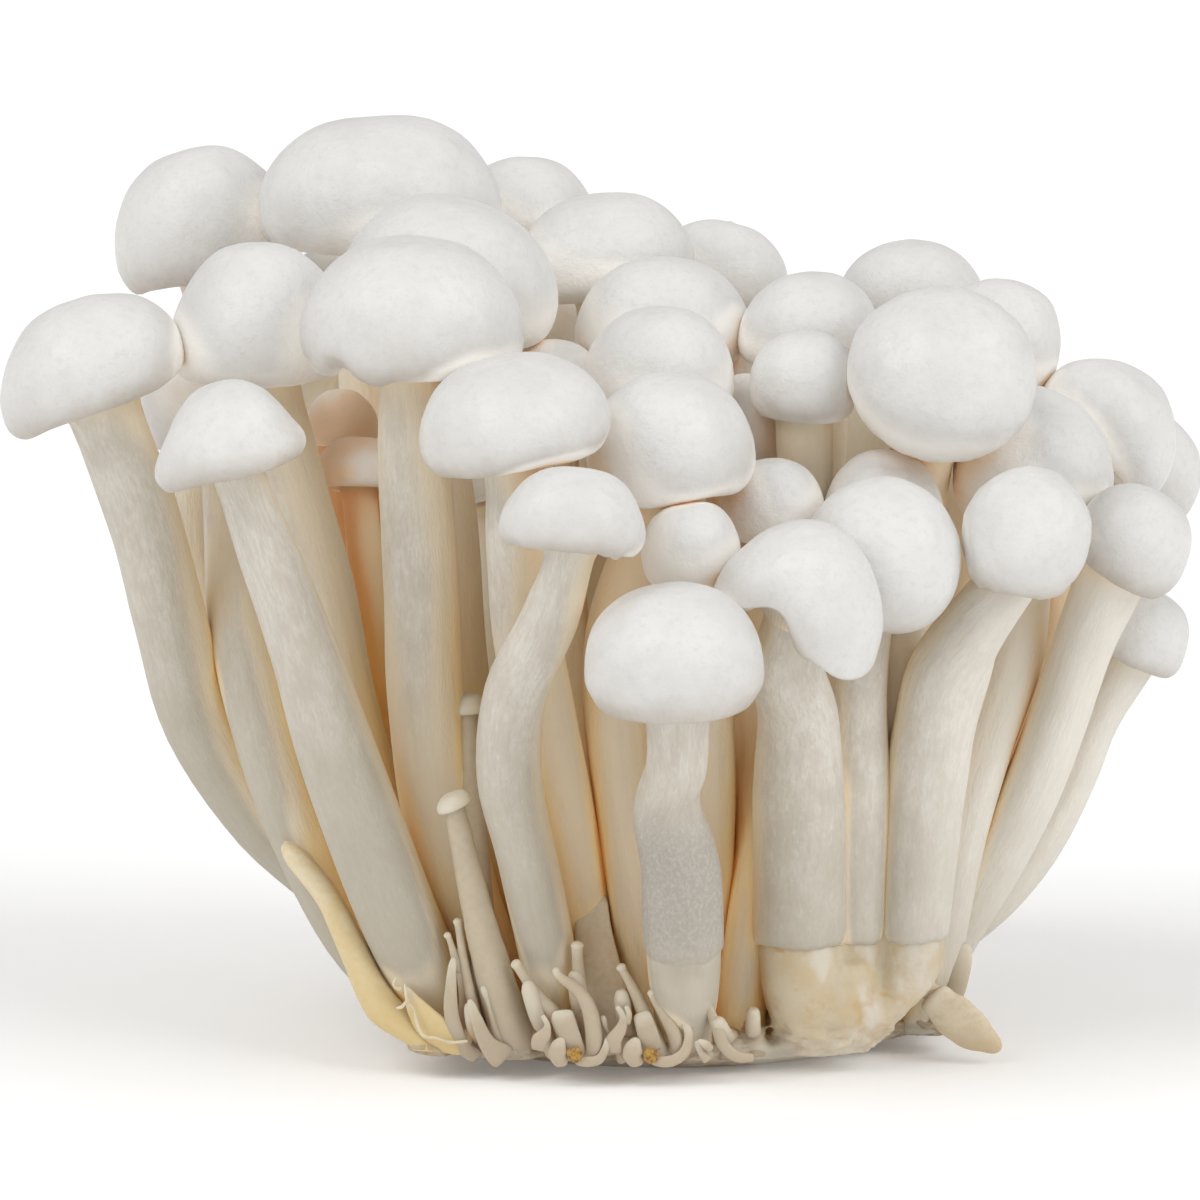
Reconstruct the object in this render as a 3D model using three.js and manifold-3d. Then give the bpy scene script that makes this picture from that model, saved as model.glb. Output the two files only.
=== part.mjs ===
// A bunch of white shimeji mushrooms on its cut base: caps and stems grown as one, standing close
// together on a fused clump, with small pins, a bare shoot and a torn scale round the foot.
// Millimetres. X to the right, Y to the back, Z up. The origin lies on the cut face of the clump.
import * as THREE from 'three';
import Module from 'manifold-3d';

// ---------------------------------------------------------------- driving sizes
const SIDES = 10; // facets round every cap and stem
const STEM_RINGS = 6; // rings between the cap and the foot
const ROOM = 0.48; // air between two neighbours
const SEAT_GAP = 0.35; // air between a foot and the clump
const NECK = 0.32; // straight neck under a cap, as a share of its width
const SEAT_DEPTH = 0.12; // how far a stem enters its cap, as a share of the cap's height
const ROOF = 0.16; // height of the hollow under a cap at its axis, as a share of the cap's height
const COLLAR = 1.12; // swelling of a stem where it meets its cap
const CORE = 0.55; // height of the point that a pressed cap gives way towards
const LEAST_SHARE = 0.2; // how far a pressed point can go in towards the core
const HALVINGS = 9; // rounds that find where two pressed neighbours meet
const LOBE_SPREAD = 80; // degrees from the middle of a lobe to its sides, unless it states its own
const FIRST_RING = { cap: 0.015, tip: 0.04 }; // place of a stem's first ring, as a share of its length
const BOX_ROOM = { cap: 0.62, slim: 2.5 }; // room round a body: share of its cap's width, or millimetres
const FEEL = 0.05; // step that feels the way out of a body
const COLOUR = { flesh: 0xf1efea, pin: 0xeee6d2, clump: 0xd9c6a2, scale: 0xe0cfa8 };

// How the bunch settles: neighbours push apart, and each mushroom is drawn back to its own place.
const STEPS = 170; // rounds
const LINKS = 10; // links that carry a stem
const STEM_BALLS = 20; // balls along a mushroom's stem
const GROWTH_BALLS = 10; // balls along a pin or a shoot
const PULL = new THREE.Vector3(0.1, 0.03, 0.1); // pull on a cap towards its place, each way
const SIDEWAYS = 0.5; // share of a push that moves a cap sideways or up, where depth takes it whole
const CROWDING = 0.35; // how far many small pushes on one cap are shared out
const LONGEST_MOVE = 0.8; // in one round
const NECK_FOLLOWS = 0.6; // how much the neck goes with its cap
const CAP_REACH = 0.12; // share of a stem whose pushes move its cap too
const EVENING = 0.3; // how much a link follows its neighbours
const HOLD = { link: 0.985, foot: 0.96 }; // what is kept of a shift after each round

// The clump: a low mound with an uneven outline and a flat cut underside.
const clump = { centre: [6.5, -0.5], half: [26.5, 21.5], edge: 2.4, crown: 6.2, square: 2.3, sides: 30 };
// Waves of its outline: how many round it, how deep as a share, where they start.
const WAVES = [[3, 0.025, 0.6], [5, 0.02, 2]];
// Rings of the clump from its crown down: share of the way out, height as a share of its edge's.
const TOP_RINGS = [0.3, 0.6, 0.84];
const SIDE_RINGS = [[0.965, 0.9], [1, 0.5], [0.97, 0], [0.5, 0]];
// The fused foot that stands out at the front right and carries five stems.
const lump = { foot: [20.6, -15.6], top: [22.2, -15.4], height: 11.4, seat: 0.92, sides: 16 };
// Its levels: height, half width, half depth.
const LUMP_LEVELS = [[0.6, 4.3, 4.6], [3.6, 5.7, 5.4], [7.6, 6.6, 5.9], [10.6, 6.9, 6.1],
  [11.3, 5.4, 4.8]];
const SEAT_LEVEL = 3; // the level whose outline bounds the seat of the stems

// Cap outlines from the crown to the underside: share of the half width, share of the height.
const DOME = [[0.44, 0.945], [0.78, 0.73], [0.975, 0.4], [0.975, 0.13], [0.84, 0], [0.6, 0.09]];
const BUN = [[0.5, 0.93], [0.84, 0.68], [1, 0.36], [0.97, 0.1], [0.82, 0], [0.58, 0.07]];
const BELL = [[0.36, 0.93], [0.64, 0.74], [0.88, 0.43], [0.99, 0.17], [0.87, 0], [0.6, 0.09]];
const BALL = [[0.46, 0.95], [0.8, 0.77], [0.99, 0.48], [0.97, 0.18], [0.8, 0], [0.56, 0.07]];

// ---------------------------------------------------------------- the mushrooms
// cap: middle of the cap. wide, tall: its size. lean: degrees to the right and towards the front.
// stem: diameters from the cap down to the foot. route: points the stem passes. foot: where it stands.
// lobes: how the rim hangs (drop) or spreads (out) towards a direction (at, 0 right, 90 back).
const mushrooms = [
  // front row, left to right
  { name: 'mushroom_front_bell', cap: [-31.8, -29, 58.8], wide: 12.4, tall: 7, lean: [-10, 6],
    form: BELL, stem: [4.2, 5.2, 6.4, 6.8, 6],
    route: [[-27.6, -26, 45], [-23.2, -22, 30], [-17.5, -19, 14]], foot: [-13, -15],
    lobes: [{ at: 195, drop: 1, out: 0.5 }] },
  { name: 'mushroom_front_wavy_stem', cap: [-2.5, -36, 52.9], wide: 12, tall: 6.8, lean: [5, -5],
    form: DOME, stem: [4, 4.6, 5.4, 4.6, 4.2], foot: [-4.5, -18.6],
    route: [[-4.6, -33, 43], [-8, -29, 34], [-8.2, -26, 28], [-6.2, -22.4, 17]] },
  { name: 'mushroom_front_round', cap: [7.4, -36, 41.7], wide: 14.8, tall: 10.4, lean: [-2, 8],
    form: BALL, stem: [5.4, 4.7, 5.6, 6.9, 6.6, 4.8],
    route: [[6, -32, 29], [7, -28, 22], [7.4, -24.6, 13]], foot: [7.4, -20] },
  { name: 'mushroom_front_saddle', cap: [17.2, -32, 46.7], wide: 13.2, tall: 8.6, lean: [12, 28],
    form: DOME, stem: [4.8, 5.4, 5.8, 5.8, 5.4], route: [[16.8, -26, 36], [17.5, -22, 25]],
    foot: [18.2, -18.6],
    lobes: [{ at: 310, drop: 3.4, out: 1.6, spread: 65 }, { at: 180, drop: 2, out: 0.6 },
      { at: 240, drop: -2.2, out: -1.2 }] },
  { name: 'mushroom_front_right_tilted', cap: [24.2, -25, 48.1], wide: 13, tall: 9.2, lean: [14, 38],
    form: BALL, stem: [5, 4.6, 4.4, 4], route: [[22, -19, 35], [22, -18, 24]], foot: [22, -16.4],
    lobes: [{ at: 300, drop: 0.8, out: 0.6 }] },
  { name: 'mushroom_front_right_drooping', cap: [37, -25, 49.9], wide: 11, tall: 8.4, lean: [6, 24],
    form: BALL, stem: [5.1, 5.7, 4.6, 3.4], route: [[33, -22, 41.5], [29.2, -19, 32], [27.8, -17, 21]],
    foot: [27, -16], lobes: [{ at: 270, drop: 1.2, out: 0.4 }] },
  // second row
  { name: 'mushroom_oval_left', cap: [-7.7, -30, 60.9], wide: 15.8, tall: 8.8, lean: [-8, 4],
    form: DOME, stem: [5.6, 5.4, 5.4, 4.8], route: [[-7, -25, 46], [-4.6, -19, 31], [-1.6, -15, 16]],
    foot: [0.5, -12.6], lobes: [{ at: 20, drop: -0.8, out: 0.3 }] },
  { name: 'mushroom_middle_front', cap: [6.4, -26, 57.2], wide: 14.3, tall: 9, lean: [1, 12],
    form: DOME, stem: [5.6, 5.2, 5.2, 4.8], route: [[3.4, -21.4, 46], [1.2, -18, 34], [2.4, -16, 20]],
    foot: [4.4, -14.6], lobes: [{ at: 245, drop: 1, out: 0 }] },
  { name: 'mushroom_small_ball', cap: [7.7, -26, 49.4], wide: 8.2, tall: 6.6, lean: [-4, 10],
    form: BALL, stem: [3.6, 3.8, 4, 4], route: [[9.6, -22, 36], [10.8, -16.4, 20]], foot: [11, -12.6] },
  { name: 'mushroom_low_small', cap: [14.8, -19, 51.5], wide: 9, tall: 5.8, lean: [-8, 10], form: DOME,
    stem: [3.8, 4, 4, 4.2], route: [[14, -16.4, 38], [13.6, -15, 22]], foot: [12.8, -15.4] },
  { name: 'mushroom_pair_back', cap: [25.1, -16.4, 50.8], wide: 10.4, tall: 7.6, lean: [5, 4],
    form: DOME, stem: [4.4, 4.2, 4, 3.6], route: [[26.6, -15.4, 38], [26, -15, 24]],
    foot: [25.4, -14.6] },
  // third row
  { name: 'mushroom_far_left', cap: [-44.8, -14, 63.6], wide: 16, tall: 8.8, lean: [-17, 4], form: DOME,
    stem: [6.2, 6, 6, 6, 5],
    route: [[-41, -13, 53], [-37.8, -9.4, 40], [-34.4, -4.6, 27], [-27, -2.6, 17], [-18.6, -2.4, 9.4]],
    foot: [-15.4, -2.4],
    lobes: [{ at: 190, drop: 1.3, out: 0.5, spread: 65 }, { at: 10, drop: -1, out: 0.5 }] },
  { name: 'mushroom_tucked_left', cap: [-36, -1, 60.2], wide: 13.4, tall: 9.4, lean: [-28, 4],
    form: DOME, stem: [5.4, 5.2, 5.2, 4.6],
    route: [[-33.4, -5, 45], [-30.6, -10, 30.5], [-23, -12, 12.5]], foot: [-15.6, -10.4] },
  { name: 'mushroom_upper_left', cap: [-30, -12, 66.7], wide: 15.6, tall: 11.4, lean: [-2, 3],
    form: DOME, stem: [6, 5.8, 5.8, 5], route: [[-26.6, -12, 50], [-22.6, -10, 32], [-17, -7, 15]],
    foot: [-10.8, -5.4] },
  { name: 'mushroom_broad_left', cap: [-16.1, -22, 68], wide: 19.2, tall: 11.2, lean: [0, 3],
    form: DOME, stem: [6.2, 6.2, 6.4, 6.6, 5.4],
    route: [[-15.4, -20, 47], [-14.6, -16, 30], [-11.8, -13, 12]], foot: [-9, -11.5] },
  { name: 'mushroom_middle_stacked', cap: [5, -12, 62.4], wide: 13.4, tall: 8.4, lean: [2, 6],
    form: DOME, stem: [5, 5, 4.6, 4.4], route: [[4.6, -10.5, 45], [5, -8.6, 24]], foot: [5.4, -7.6] },
  { name: 'mushroom_middle_side_small', cap: [13.6, -5, 57], wide: 8.4, tall: 6.4, lean: [24, 5],
    form: BALL, stem: [3.6, 4, 3.8], route: [[12, -5.4, 42], [11, -5.4, 22]], foot: [10.6, -5.4] },
  { name: 'mushroom_right_small', cap: [18.2, -13, 61.5], wide: 9.3, tall: 7, lean: [3, 6], form: BALL,
    stem: [4.4, 4.6, 4.4, 4], route: [[18.8, -10.6, 47], [18, -8, 25]], foot: [17.4, -7] },
  { name: 'mushroom_right_big_round', cap: [29.6, -18, 62.4], wide: 16.4, tall: 10, lean: [7, 42],
    form: BALL, stem: [5.6, 5.2, 4.6, 3.6], route: [[28.4, -6.4, 49], [26.8, -6.4, 36], [24.4, -7, 20]],
    foot: [22, -7] },
  { name: 'mushroom_right_lumpy', cap: [38, -8, 54.3], wide: 14.2, tall: 8.8, lean: [10, 32],
    form: DOME, stem: [5.6, 5.2, 5, 4.2], route: [[38, -5.4, 41], [35.6, -7.6, 28.5], [31.6, -9, 13.5]],
    foot: [29.4, -8.6],
    lobes: [{ at: 20, drop: 1.4, out: 0.8 }, { at: 150, drop: -1.2, out: -0.8 },
      { at: 210, drop: 1.4, out: 0.6 }] },
  { name: 'mushroom_right_edge_middle', cap: [47.4, -13, 47.4], wide: 10.2, tall: 7.8, lean: [32, 10],
    form: BALL, stem: [5.2, 5, 5, 4.2], route: [[42.6, -11, 37.6], [38.6, -9.6, 28], [31.4, -7, 12.6]],
    foot: [28.2, -4.6] },
  { name: 'mushroom_right_edge_low', cap: [48.9, -4, 37.8], wide: 8.8, tall: 6.2, lean: [26, 6],
    form: DOME, stem: [4.4, 4.4, 4.4, 3.8], foot: [27, 0.6],
    route: [[44.4, -3, 29.6], [41.4, -2.8, 22], [37, -2.4, 15], [31.4, -1.4, 9.8]] },
  // middle of the bunch
  { name: 'mushroom_tilted_upper', cap: [-12.8, -4, 70.4], wide: 19.2, tall: 10.8, lean: [14, 2],
    form: BUN, stem: [6.4, 6.2, 5.8, 5], route: [[-14.6, -3, 50], [-12.6, -2.4, 28]], foot: [-6, -2] },
  { name: 'mushroom_middle_hidden', cap: [-4.2, -3, 60.6], wide: 9.2, tall: 6, lean: [0, 2], form: DOME,
    stem: [4, 4, 3.8], route: [[-3.6, -5, 42], [-1.6, -6.4, 20]], foot: [-1, -6.4] },
  { name: 'mushroom_middle_upper', cap: [5.6, 2, 65.8], wide: 15.2, tall: 8.8, lean: [1, 3], form: BUN,
    stem: [5.4, 5, 4.8, 4.4], route: [[5.6, 1.4, 46], [5.4, -0.6, 22]], foot: [5.2, -1.4] },
  { name: 'mushroom_right_upper', cap: [18.8, -2, 65.3], wide: 12.6, tall: 7.6, lean: [0, 2],
    form: DOME, stem: [5, 4.8, 4.6, 4.2], route: [[18.6, -2, 46], [17, -1.2, 22]], foot: [16, -1] },
  { name: 'mushroom_right_crescent', cap: [46.2, 3.5, 56.7], wide: 13, tall: 7.4, lean: [28, 8],
    form: BUN, stem: [4.8, 4.8, 4.6, 4], route: [[42.4, 1.6, 43.4], [38, 0, 28]], foot: [26, -2.6],
    lobes: [{ at: 330, drop: 2, out: 0.8 }, { at: 250, drop: -1.2, out: -1 }] },
  { name: 'mushroom_far_right', cap: [50.8, 14, 50.8], wide: 12, tall: 7.6, lean: [44, -4], form: DOME,
    stem: [4.6, 4.6, 4.4, 4], route: [[44.2, 12, 36], [37, 7.6, 22]], foot: [27, 5] },
  { name: 'mushroom_inner_dim', cap: [-23.4, 4, 55.8], wide: 6.4, tall: 4.4, lean: [-4, 0], form: DOME,
    stem: [3.6, 3.8, 3.6], route: [[-22.4, 3, 38], [-16, 1, 18]], foot: [-10.6, 0.6] },
  { name: 'mushroom_inner_low', cap: [-21.4, -5, 52.6], wide: 7.6, tall: 4.4, lean: [2, -12], form: BUN,
    stem: [3.8, 4, 3.8], route: [[-20.2, -4.4, 38], [-18.4, -3.6, 24]], foot: [-7.6, -7.4] },
  // behind the middle
  { name: 'mushroom_back_far_left', cap: [-36.5, 22, 72.7], wide: 16.8, tall: 11.4, lean: [-13, 0],
    form: DOME, stem: [5.8, 5.4, 5.2, 4.8], route: [[-37.6, 15, 52], [-37, 9.6, 42.6], [-31.4, 4, 25]],
    foot: [-14.6, 2.6] },
  { name: 'mushroom_back_big', cap: [-20.3, 14, 75.9], wide: 22, tall: 11.6, lean: [1, 2], form: BUN,
    stem: [7, 6.6, 6, 5], route: [[-20.6, 11, 55], [-18.6, 8, 34]], foot: [-8.6, 6.4] },
  { name: 'mushroom_back_middle', cap: [0.7, 14, 70.2], wide: 16.2, tall: 8.8, lean: [-6, 0], form: BUN,
    stem: [6, 5.6, 5.2, 4.6], route: [[0.4, 10.4, 48], [0.2, 6.4, 22]], foot: [0.2, 4.2] },
  { name: 'mushroom_back_middle_right', cap: [11.2, 23, 67.8], wide: 12.8, tall: 7.6, lean: [12, 0],
    form: DOME, stem: [5, 5, 4.8, 4.2], route: [[9.6, 17, 46], [9.4, 9.4, 22]], foot: [9.6, 5] },
  { name: 'mushroom_back_right_tilted', cap: [36.9, 5, 63.4], wide: 11.8, tall: 8.4, lean: [24, 0],
    form: DOME, stem: [5, 5, 4.8, 4.2], route: [[32.6, 5.6, 46], [27.6, 5, 24]], foot: [21.6, 2.6] },
  { name: 'mushroom_back_high', cap: [-7, 26, 73], wide: 13.6, tall: 8.6, lean: [3, -4], form: DOME,
    stem: [5.2, 5, 4.8, 4.2], route: [[-7.2, 20.4, 50], [-5.4, 14, 24]], foot: [-3.6, 10.4] },
  { name: 'mushroom_back_right_high', cap: [28.8, 17, 66.8], wide: 13.2, tall: 7.2, lean: [3, -3],
    form: DOME, stem: [5, 5, 4.8, 4.2], route: [[24.2, 14.6, 49], [21.4, 10, 22]], foot: [18, 7.6] },
  // low ones that close the bunch at the rear
  { name: 'mushroom_rear_left_high', cap: [-25, 31, 64], wide: 14.6, tall: 9.2, lean: [-10, -12],
    form: DOME, stem: [5.4, 5.2, 5, 4.4], route: [[-26.6, 26, 50], [-17, 15.4, 22]],
    foot: [-10.4, 10.8] },
  { name: 'mushroom_rear_middle_high', cap: [-1, 35, 60], wide: 14.2, tall: 9, lean: [-2, -14],
    form: BUN, stem: [5.2, 5, 5, 4.4], route: [[0.6, 27, 42], [3.4, 16.6, 20]], foot: [4.6, 10.8] },
  { name: 'mushroom_rear_right_high', cap: [18, 27, 57], wide: 13.4, tall: 8.6, lean: [8, -18],
    form: DOME, stem: [5, 5, 4.8, 4.2], route: [[17, 21, 40], [14.4, 13.8, 19]], foot: [12, 10.8] },
  { name: 'mushroom_rear_left', cap: [-10, 40, 46.4], wide: 13.6, tall: 9, lean: [-8, -26], form: BALL,
    stem: [5.2, 5.2, 5, 4.4], route: [[-8.8, 30, 31], [-6.6, 20, 16]], foot: [-4.4, 15] },
  { name: 'mushroom_rear_middle', cap: [4.8, 44, 42], wide: 12.8, tall: 8.6, lean: [0, -30], form: DOME,
    stem: [5, 5, 4.8, 4.4], route: [[4.4, 33, 28], [4, 22, 15]], foot: [3.8, 16] },
  { name: 'mushroom_rear_right', cap: [19, 38, 41], wide: 12.4, tall: 8, lean: [10, -28], form: DOME,
    stem: [4.8, 4.8, 4.6, 4.2], route: [[16.4, 29, 28], [12.6, 20, 15]], foot: [10.8, 15.2] },
  { name: 'mushroom_rear_far_right', cap: [34, 27, 45], wide: 12.2, tall: 7.8, lean: [20, -22],
    form: DOME, stem: [4.8, 4.8, 4.6, 4], route: [[28.6, 20.4, 31], [22, 14, 16]], foot: [18.6, 12] },
  { name: 'mushroom_rear_far_left', cap: [-30, 27, 43.6], wide: 11.4, tall: 7.4, lean: [-24, -22],
    form: DOME, stem: [4.6, 4.6, 4.4, 4], route: [[-22.4, 20.4, 30], [-14.6, 14.4, 16]],
    foot: [-11, 14] },
];

// Slim growths with no broad cap. path: from the tip down to the foot. thick: diameters on the way.
const growths = [
  { name: 'pin_tall',
    path: [[-12, -16.4, 33.4], [-11.9, -16.6, 31], [-11.7, -17.2, 22], [-10.8, -18, 10]],
    foot: [-10, -17.6], thick: [1.6, 3.2, 1.7, 1.9, 2.4, 2.6] },
  { name: 'pin_slanting',
    path: [[-12.9, -24, 26], [-12.6, -23.8, 24.4], [-11.4, -23, 18], [-9.4, -22, 9.6]],
    foot: [-8.4, -18.4], thick: [1.4, 2.6, 1.7, 3, 4.2, 4.2] },
  { name: 'shoot_bare', path: [[-28, -15, 19.8], [-25, -16, 17], [-22, -17, 12.6], [-19, -17.4, 7.4]],
    foot: [-14.6, -17.8], thick: [1.4, 1.9, 2.4, 3, 3.6] },
  { name: 'pin_left_a', path: [[-12.2, -20.2, 11.6], [-11.9, -20, 9]], foot: [-11.4, -18.4],
    thick: [0.9, 1.2, 1.5] },
  { name: 'pin_left_b', path: [[-10.4, -22, 7.4], [-10, -21.6, 5]], foot: [-9, -19.8],
    thick: [0.9, 1.3, 1.7] },
  { name: 'pin_middle_a', path: [[-6.8, -23.4, 9.2], [-5.8, -22.8, 6]], foot: [-3, -20.6],
    thick: [1, 1.5, 2] },
  { name: 'pin_middle_b', path: [[-2.2, -23, 10], [-1.6, -22, 6]], foot: [-0.6, -19],
    thick: [1.1, 1.6, 2] },
  { name: 'pin_middle_c', path: [[1.8, -23.4, 8.4], [2.2, -22.6, 5.4]], foot: [2.6, -19.6],
    thick: [1, 1.5, 1.9] },
  { name: 'pin_right_a', path: [[9.6, -24, 6.4], [10.6, -23.4, 4.6]], foot: [11.4, -19.6],
    thick: [0.9, 1.3, 1.8] },
  { name: 'pin_right_b', path: [[13.4, -21.6, 6.4], [13.4, -21, 4.6]], foot: [13.6, -18.8],
    thick: [0.9, 1.3, 1.7] },
];

// The torn scale that hangs at the right of the clump, a thin leaf with a pointed end.
const scale = { name: 'scale_torn', path: [[35.6, -15.4, 1.4], [33.6, -15, 2.6], [31, -14.4, 4.6]],
  foot: [29.4, -14, 6.2], widths: [0.8, 3.4, 3.8, 2.4], thick: 1.2, flat: 0.8, rings: 7,
  ends: [0.05, 0.97] };

// ---------------------------------------------------------------- small helpers
const V = (p) => new THREE.Vector3(p[0], p[1], p[2]);
const rad = (degrees) => (degrees * Math.PI) / 180;
const mix = (a, b, t) => a + (b - a) * t;

// A value on a list of evenly spaced values, at t from 0 to 1.
function along(list, t) {
  const s = Math.min(Math.max(t, 0), 1) * (list.length - 1);
  const i = Math.min(Math.floor(s), list.length - 2);
  return mix(list[i], list[i + 1], s - i);
}

// Evenly spaced points on the smooth curve through the given points.
function evenly(points, count) {
  return new THREE.CatmullRomCurve3(points, false, 'centripetal').getSpacedPoints(count);
}

// ---------------------------------------------------------------- the clump
// Distance from the middle of the clump to its outline, in a direction.
function outline(angle) {
  const c = Math.abs(Math.cos(angle)) / clump.half[0];
  const s = Math.abs(Math.sin(angle)) / clump.half[1];
  const round = (c ** clump.square + s ** clump.square) ** (-1 / clump.square);
  const waves = WAVES.map(([count, depth, start]) => depth * Math.sin(count * angle + start));
  return waves.reduce((r, wave) => r + round * wave, round);
}

// Height of the top of the mound over a place on the cut face.
function moundTop(x, y) {
  const dx = x - clump.centre[0];
  const dy = y - clump.centre[1];
  const share = Math.min(Math.hypot(dx, dy) / outline(Math.atan2(dy, dx)), 1);
  return mix(clump.crown, clump.edge, share * share);
}

function onLump(x, y) {
  const [, ax, ay] = LUMP_LEVELS[SEAT_LEVEL];
  return ((x - lump.top[0]) / ax) ** 2 + ((y - lump.top[1]) / ay) ** 2 < lump.seat;
}

// Whether a point of a stem lies over the seat of the lump, its foot included.
function standsOnLump(p) {
  return onLump(p.x, p.y) && p.z > lump.height - 1;
}

// Height a foot stands at.
function seatHeight(x, y) {
  return (onLump(x, y) ? lump.height : moundTop(x, y)) + SEAT_GAP;
}

// How far a point is outside the lump, negative inside it.
function outsideLump(p) {
  const t = Math.min(Math.max(p.z / lump.height, 0), 1);
  const level = LUMP_LEVELS.findIndex((row) => row[0] >= p.z);
  const high = LUMP_LEVELS[level < 0 ? LUMP_LEVELS.length - 1 : level];
  const low = LUMP_LEVELS[Math.max((level < 0 ? LUMP_LEVELS.length : level) - 1, 0)];
  const part = high === low ? 0 : Math.min(Math.max((p.z - low[0]) / (high[0] - low[0]), 0), 1);
  const ax = mix(low[1], high[1], part);
  const ay = mix(low[2], high[2], part);
  const dx = p.x - mix(lump.foot[0], lump.top[0], t);
  const dy = p.y - mix(lump.foot[1], lump.top[1], t);
  const side = (Math.hypot(dx / ax, dy / ay) - 1) * Math.min(ax, ay);
  return Math.max(side, p.z - lump.height);
}

// ---------------------------------------------------------------- bodies that settle
// A cap's frame: its rim centre, its axis and two directions across it.
function capFrame(body) {
  const right = Math.tan(rad(body.lean[0]));
  const front = Math.tan(rad(body.lean[1]));
  const axis = new THREE.Vector3(right, -front, 1).normalize();
  const across = new THREE.Vector3(1, 0, 0).addScaledVector(axis, -axis.x).normalize();
  const back = axis.clone().cross(across);
  return { axis, across, back };
}

// How much a lobe counts in a direction, from 1 at its middle to 0 at its sides.
function lobeShare(lobe, angle) {
  let off = Math.abs(angle - rad(lobe.at)) % (2 * Math.PI);
  if (off > Math.PI) off = 2 * Math.PI - off;
  const turn = (off * 90) / (lobe.spread ?? LOBE_SPREAD);
  return turn >= Math.PI / 2 ? 0 : Math.cos(turn) ** 2;
}

function makeMushroom(row) {
  const frame = capFrame(row);
  const middle = V(row.cap);
  const rim = middle.clone().addScaledVector(frame.axis, -row.tall / 2);
  const seat = rim.clone().addScaledVector(frame.axis, row.tall * SEAT_DEPTH);
  const neck = rim.clone().addScaledVector(frame.axis, -row.wide * NECK);
  const foot = new THREE.Vector3(row.foot[0], row.foot[1], seatHeight(...row.foot));
  const first = evenly([seat, neck, ...row.route.map(V), foot], LINKS);
  return { lobes: [], ...row, ...frame, hasCap: true, thick: row.stem, middle, home: middle.clone(),
    nodes: first, start: first.map((p) => p.clone()) };
}

function makeGrowth(row) {
  const foot = new THREE.Vector3(row.foot[0], row.foot[1], seatHeight(...row.foot));
  const first = evenly([...row.path.map(V), foot], LINKS);
  return { ...row, hasCap: false, nodes: first, start: first.map((p) => p.clone()) };
}

// Samples of a body's stem as balls, from the cap to the foot.
function refresh(body) {
  const smooth = new THREE.CatmullRomCurve3(body.nodes, false, 'centripetal');
  const count = body.hasCap ? STEM_BALLS : GROWTH_BALLS;
  body.balls = [];
  for (let i = 0; i <= count; i++) {
    const t = i / count;
    body.balls.push({ p: smooth.getPoint(t), r: along(body.thick, t) / 2, t });
  }
  if (body.hasCap) {
    body.rim = body.middle.clone().addScaledVector(body.axis, -body.tall / 2);
    const half = body.wide / 2;
    const rows = [[0, 1], ...body.form].map(([r, h]) => [r * half, h * body.tall]);
    body.edge = [...rows, [0, ROOF * body.tall]];
  }
  const box = new THREE.Box3();
  for (const ball of body.balls) box.expandByPoint(ball.p);
  if (body.hasCap) box.expandByPoint(body.middle);
  body.box = box.expandByScalar(body.hasCap ? body.wide * BOX_ROOM.cap : BOX_ROOM.slim);
}

// Signed distance from a point to a closed outline in the plane of a cap's axis.
function toOutline(points, x, y) {
  let best = Infinity;
  let inside = false;
  for (let i = 0, j = points.length - 1; i < points.length; j = i++) {
    const [ax, ay] = points[j];
    const [bx, by] = points[i];
    const ex = bx - ax;
    const ey = by - ay;
    const t = Math.min(Math.max(((x - ax) * ex + (y - ay) * ey) / (ex * ex + ey * ey || 1), 0), 1);
    if (!(ax === 0 && bx === 0)) best = Math.min(best, Math.hypot(x - ax - t * ex, y - ay - t * ey));
    if (ay > y !== by > y && x < ((bx - ax) * (y - ay)) / (by - ay) + ax) inside = !inside;
  }
  return inside ? -best : best;
}

// Signed distance from a point to a body's cap, its hanging lobes allowed for.
function toCap(body, p) {
  const offset = p.clone().sub(body.rim);
  const u = offset.dot(body.across);
  const v = offset.dot(body.back);
  let h = offset.dot(body.axis);
  let r = Math.hypot(u, v);
  const angle = Math.atan2(v, u);
  const share = Math.min(r / (body.wide / 2), 1.2);
  for (const lobe of body.lobes) {
    const w = lobeShare(lobe, angle);
    h += lobe.drop * w * share * share;
    r -= lobe.out * w * share;
  }
  return toOutline(body.edge, Math.max(r, 0), h);
}

// Signed distance from a point to a body's stem.
function toStem(body, p) {
  const link = new THREE.Vector3();
  const gap = new THREE.Vector3();
  let best = Infinity;
  for (let i = 0; i + 1 < body.balls.length; i++) {
    const a = body.balls[i];
    const b = body.balls[i + 1];
    link.subVectors(b.p, a.p);
    gap.subVectors(p, a.p);
    const t = Math.min(Math.max(gap.dot(link) / link.lengthSq(), 0), 1);
    const far = gap.addScaledVector(link, -t).length() - mix(a.r, b.r, t);
    if (far < best) best = far;
  }
  return best;
}

function toBody(body, p) {
  const stem = toStem(body, p);
  return body.hasCap ? Math.min(stem, toCap(body, p)) : stem;
}

// The way out of a body at a point, from differences of its distance.
function wayOut(body, p) {
  const here = toBody(body, p);
  const way = new THREE.Vector3();
  for (const key of ['x', 'y', 'z']) {
    const q = p.clone();
    q[key] += FEEL;
    way[key] = toBody(body, q) - here;
  }
  return way.lengthSq() > 0 ? way.normalize() : way.set(0, 1, 0);
}

// A ring of points round a cap, at a share of its half width and of its height.
function capRing(body, r, h) {
  return Array.from({ length: SIDES }, (_, k) => capPoint(body, r, h, (2 * Math.PI * k) / SIDES));
}

// Points spread over the outside of a cap, its underside left out.
function capPoints(body) {
  return [crownOf(body), ...body.form.slice(0, -1).flatMap(([r, h]) => capRing(body, r, h))];
}

function crownOf(body) {
  return body.rim.clone().addScaledVector(body.axis, body.tall);
}

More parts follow.
